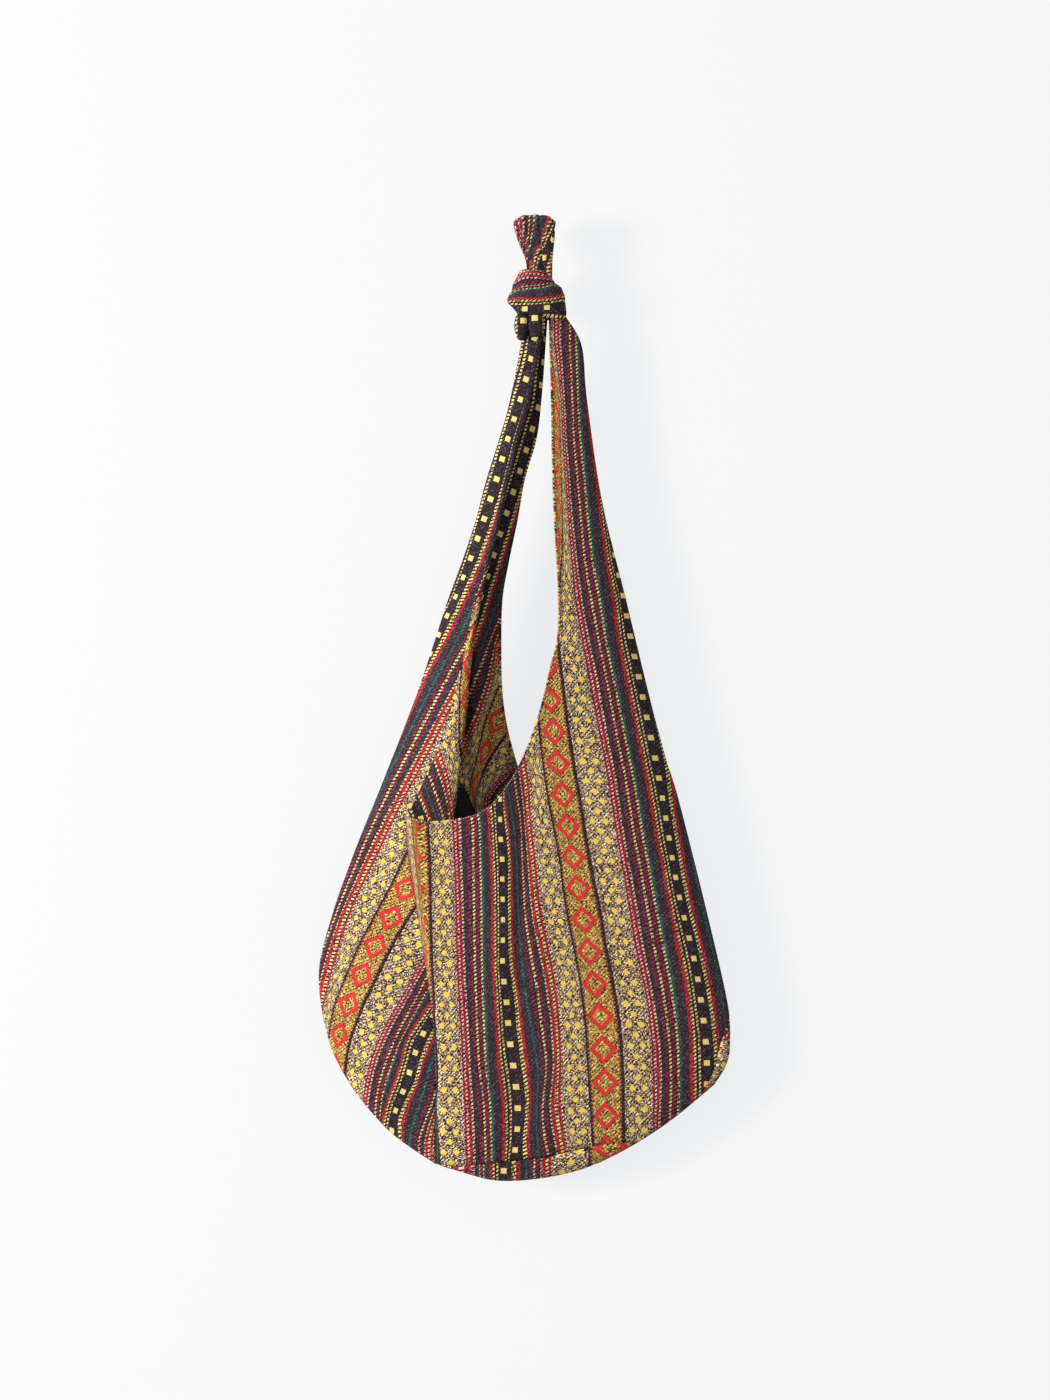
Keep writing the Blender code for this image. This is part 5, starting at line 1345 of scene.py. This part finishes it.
def lining_material():
    """Plain-woven black cotton: matt and faintly ribbed by its threads, whose shaded side is painted darker.
    """
    material, tree, shader = new_material("black cotton", roughness=0.9)
    spot = node(tree, "ShaderNodeTexCoord").node.outputs["Object"]
    weave = node(tree, "ShaderNodeTexNoise", spot, *BLACK_NOISE)
    stops = [(at, hue(code)) for at, code in BLACK_THREADS]
    tree.links.new(node(tree, "ShaderNodeValToRGB", weave, stops=stops), shader.inputs["Base Color"])
    tree.links.new(node(tree, "ShaderNodeBump", *BLACK_RELIEF, None, weave), shader.inputs["Normal"])
    return material


def wall_material():
    """Matt white wall paint: the camera sees it nearly white, with the bag's soft shadow. From behind it is
    see-through, so that the back can be looked at."""
    material, tree, shader = new_material("white wall paint", roughness=0.95)
    shader.inputs["Base Color"].default_value = hue(WALL_PAINT)
    shown = node(tree, "ShaderNodeBsdfDiffuse", hue(WALL_SHADE))
    glow = node(tree, "ShaderNodeEmission", hue(WALL_TINT), WALL_GLOW)
    seen = node(tree, "ShaderNodeAddShader", shown, glow)
    ray = node(tree, "ShaderNodeLightPath").node.outputs
    looked_at = ray["Is Camera Ray"]
    for kind in ("Is Glossy Ray", "Is Transmission Ray"):
        looked_at = node(tree, "ShaderNodeMath", looked_at, ray[kind], operation="MAXIMUM")
    front = node(tree, "ShaderNodeMixShader", looked_at, shader.outputs[0], seen)
    behind = node(tree, "ShaderNodeNewGeometry").node.outputs["Backfacing"]
    whole = node(tree, "ShaderNodeMixShader", behind, front, node(tree, "ShaderNodeBsdfTransparent"))
    tree.links.new(whole, tree.nodes["Material Output"].inputs["Surface"])
    return material


def cloth_finish():
    """The jacquard, made at its first use."""
    return bpy.data.materials.get("jacquard cotton") or jacquard_material()


def declare(item, slot, *replaced):
    """Puts a piece on the bag's root body and hides the solids that it stands for; slot is not used."""
    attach(item, "root")
    if replaced:
        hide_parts(*replaced)


class BAG_OT_front(bpy.types.Operator):
    """Builds the front cloth with both front wings and the pleat, its rolled hems and their stitches."""
    bl_idname = "bag.front"
    bl_label = "Front cloth"

    def execute(self, context):
        cloth, edges, rows = front_cloth(cloth_finish())
        declare(cloth, "striped_jacquard", "front_panel")
        trim = [rolled_hem(name + "_hem", edges[name], turned, cloth_finish())
                for name, turned in FRONT_HEMS]
        tree = stitch_tree()
        dark = thread_material("dark cotton thread", DARK_THREAD)
        trim += [stitches(name + "_stitches", tree, line[0], dark, HEM_STITCH)
                 for name, line in rows.items()]
        trim.append(stitches("mouth_edge_stitches", tree, edges["mouth"][0],
                             thread_material("pale cotton thread", PALE_THREAD), EDGE_STITCH))
        for piece in trim:
            declare(piece, "striped_jacquard")
        return {"FINISHED"}


class BAG_OT_back(bpy.types.Operator):
    """Builds the back cloth with both back wings and its rolled hems."""
    bl_idname = "bag.back"
    bl_label = "Back cloth"

    def execute(self, context):
        cloth, edges = back_cloth(cloth_finish())
        declare(cloth, "striped_jacquard", "back_panel")
        trim = [rolled_hem(name + "_hem", line, 0, cloth_finish()) for name, line in edges.items()]
        for piece in trim:
            declare(piece, "striped_jacquard")
        return {"FINISHED"}


class BAG_OT_facing(bpy.types.Operator):
    """Builds the facing inside the mouth; it lies on the back cloth, which comes first."""
    bl_idname = "bag.facing"
    bl_label = "Mouth facing"

    def execute(self, context):
        cloth = facing_cloth(bpy.data.objects["back_cloth"], cloth_finish())
        declare(cloth, "striped_jacquard", "mouth_facing")
        return {"FINISHED"}


class BAG_OT_lining(bpy.types.Operator):
    """Builds the black lining; it hangs between the front and back cloth, which come first."""
    bl_idname = "bag.lining"
    bl_label = "Lining"

    def execute(self, context):
        objects = bpy.data.objects
        cloth = lining_cloth(objects["front_cloth"], objects["back_cloth"], lining_material())
        declare(cloth, "black_lining", "lining")
        return {"FINISHED"}


class BAG_OT_knot(bpy.types.Operator):
    """Builds the knot of both wings and the hanging loop above it."""
    bl_idname = "bag.knot"
    bl_label = "Knot and loop"

    def execute(self, context):
        loop, knot = knotted_strap(cloth_finish())
        for piece in (loop, knot):
            declare(piece, "striped_jacquard", "knotted_strap")
        return {"FINISHED"}


class BAG_OT_stage(bpy.types.Operator):
    """Sets the wall, the lights and the camera."""
    bl_idname = "bag.stage"
    bl_label = "Bag stage"

    def execute(self, context):
        scene = context.scene
        mesh = bpy.data.meshes.new("wall")
        mesh.from_pydata([(x, WALL_PLANE, z) for x, z in WALL_CORNERS], [], [(0, 1, 2, 3)])
        wall = bpy.data.objects.new("wall", mesh)
        scene.collection.objects.link(wall)
        mesh.materials.append(wall_material())
        for name, spot, size, power in LIGHTS:
            light = bpy.data.lights.new(name, "AREA")
            light.size = size
            light.energy = power
            lamp = bpy.data.objects.new(name, light)
            lamp.location = spot
            lamp.rotation_euler = (Vector(LIGHTS_AIM) - Vector(spot)).to_track_quat("-Z", "Y").to_euler()
            scene.collection.objects.link(lamp)
        world = bpy.data.worlds.new("studio")
        world.use_nodes = True
        world.node_tree.nodes["Background"].inputs["Color"].default_value = (1, 1, 1, 1)
        world.node_tree.nodes["Background"].inputs["Strength"].default_value = ROOM_LIGHT
        scene.world = world
        scene.view_settings.view_transform = "Standard"
        camera_data = bpy.data.cameras.new("camera")
        camera_data.lens = CAMERA_SENSOR * CAMERA_DISTANCE / VIEW_HEIGHT
        camera = bpy.data.objects.new("camera", camera_data)
        camera.location = (VIEW_MIDDLE[0], -CAMERA_DISTANCE, VIEW_MIDDLE[1])
        camera.rotation_euler = (math.pi / 2, 0, 0)
        scene.collection.objects.link(camera)
        scene.camera = camera
        return {"FINISHED"}


class BAG_PT_panel(bpy.types.Panel):
    """The bag's sizes and steps in the sidebar."""
    bl_label = "Crossbody bag"
    bl_idname = "BAG_PT_panel"
    bl_space_type = "VIEW_3D"
    bl_region_type = "UI"
    bl_category = "Bag"

    def draw(self, context):
        for group in (context.scene.bag_sizes, context.scene.bag_yarns):
            for name in type(group).__annotations__:
                self.layout.prop(group, name)
        for step in STEPS:
            self.layout.operator(step.bl_idname)


STEPS = (BAG_OT_back, BAG_OT_front, BAG_OT_facing, BAG_OT_lining, BAG_OT_knot, BAG_OT_stage)
CLASSES = (BagSizes, BagYarns, *STEPS, BAG_PT_panel)


def register():
    """Adds the bag's classes and settings to Blender."""
    for item in CLASSES:
        bpy.utils.register_class(item)
    bpy.types.Scene.bag_sizes = bpy.props.PointerProperty(type=BagSizes)
    bpy.types.Scene.bag_yarns = bpy.props.PointerProperty(type=BagYarns)


def unregister():
    """Takes them out again."""
    del bpy.types.Scene.bag_sizes
    del bpy.types.Scene.bag_yarns
    for item in reversed(CLASSES):
        bpy.utils.unregister_class(item)


def main():
    """Builds the bag and its stage."""
    register()
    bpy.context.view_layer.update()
    for step in STEPS:
        group, action = step.bl_idname.split(".")
        getattr(getattr(bpy.ops, group), action)()
    bpy.context.view_layer.update()


if __name__ == "__main__":
    main()
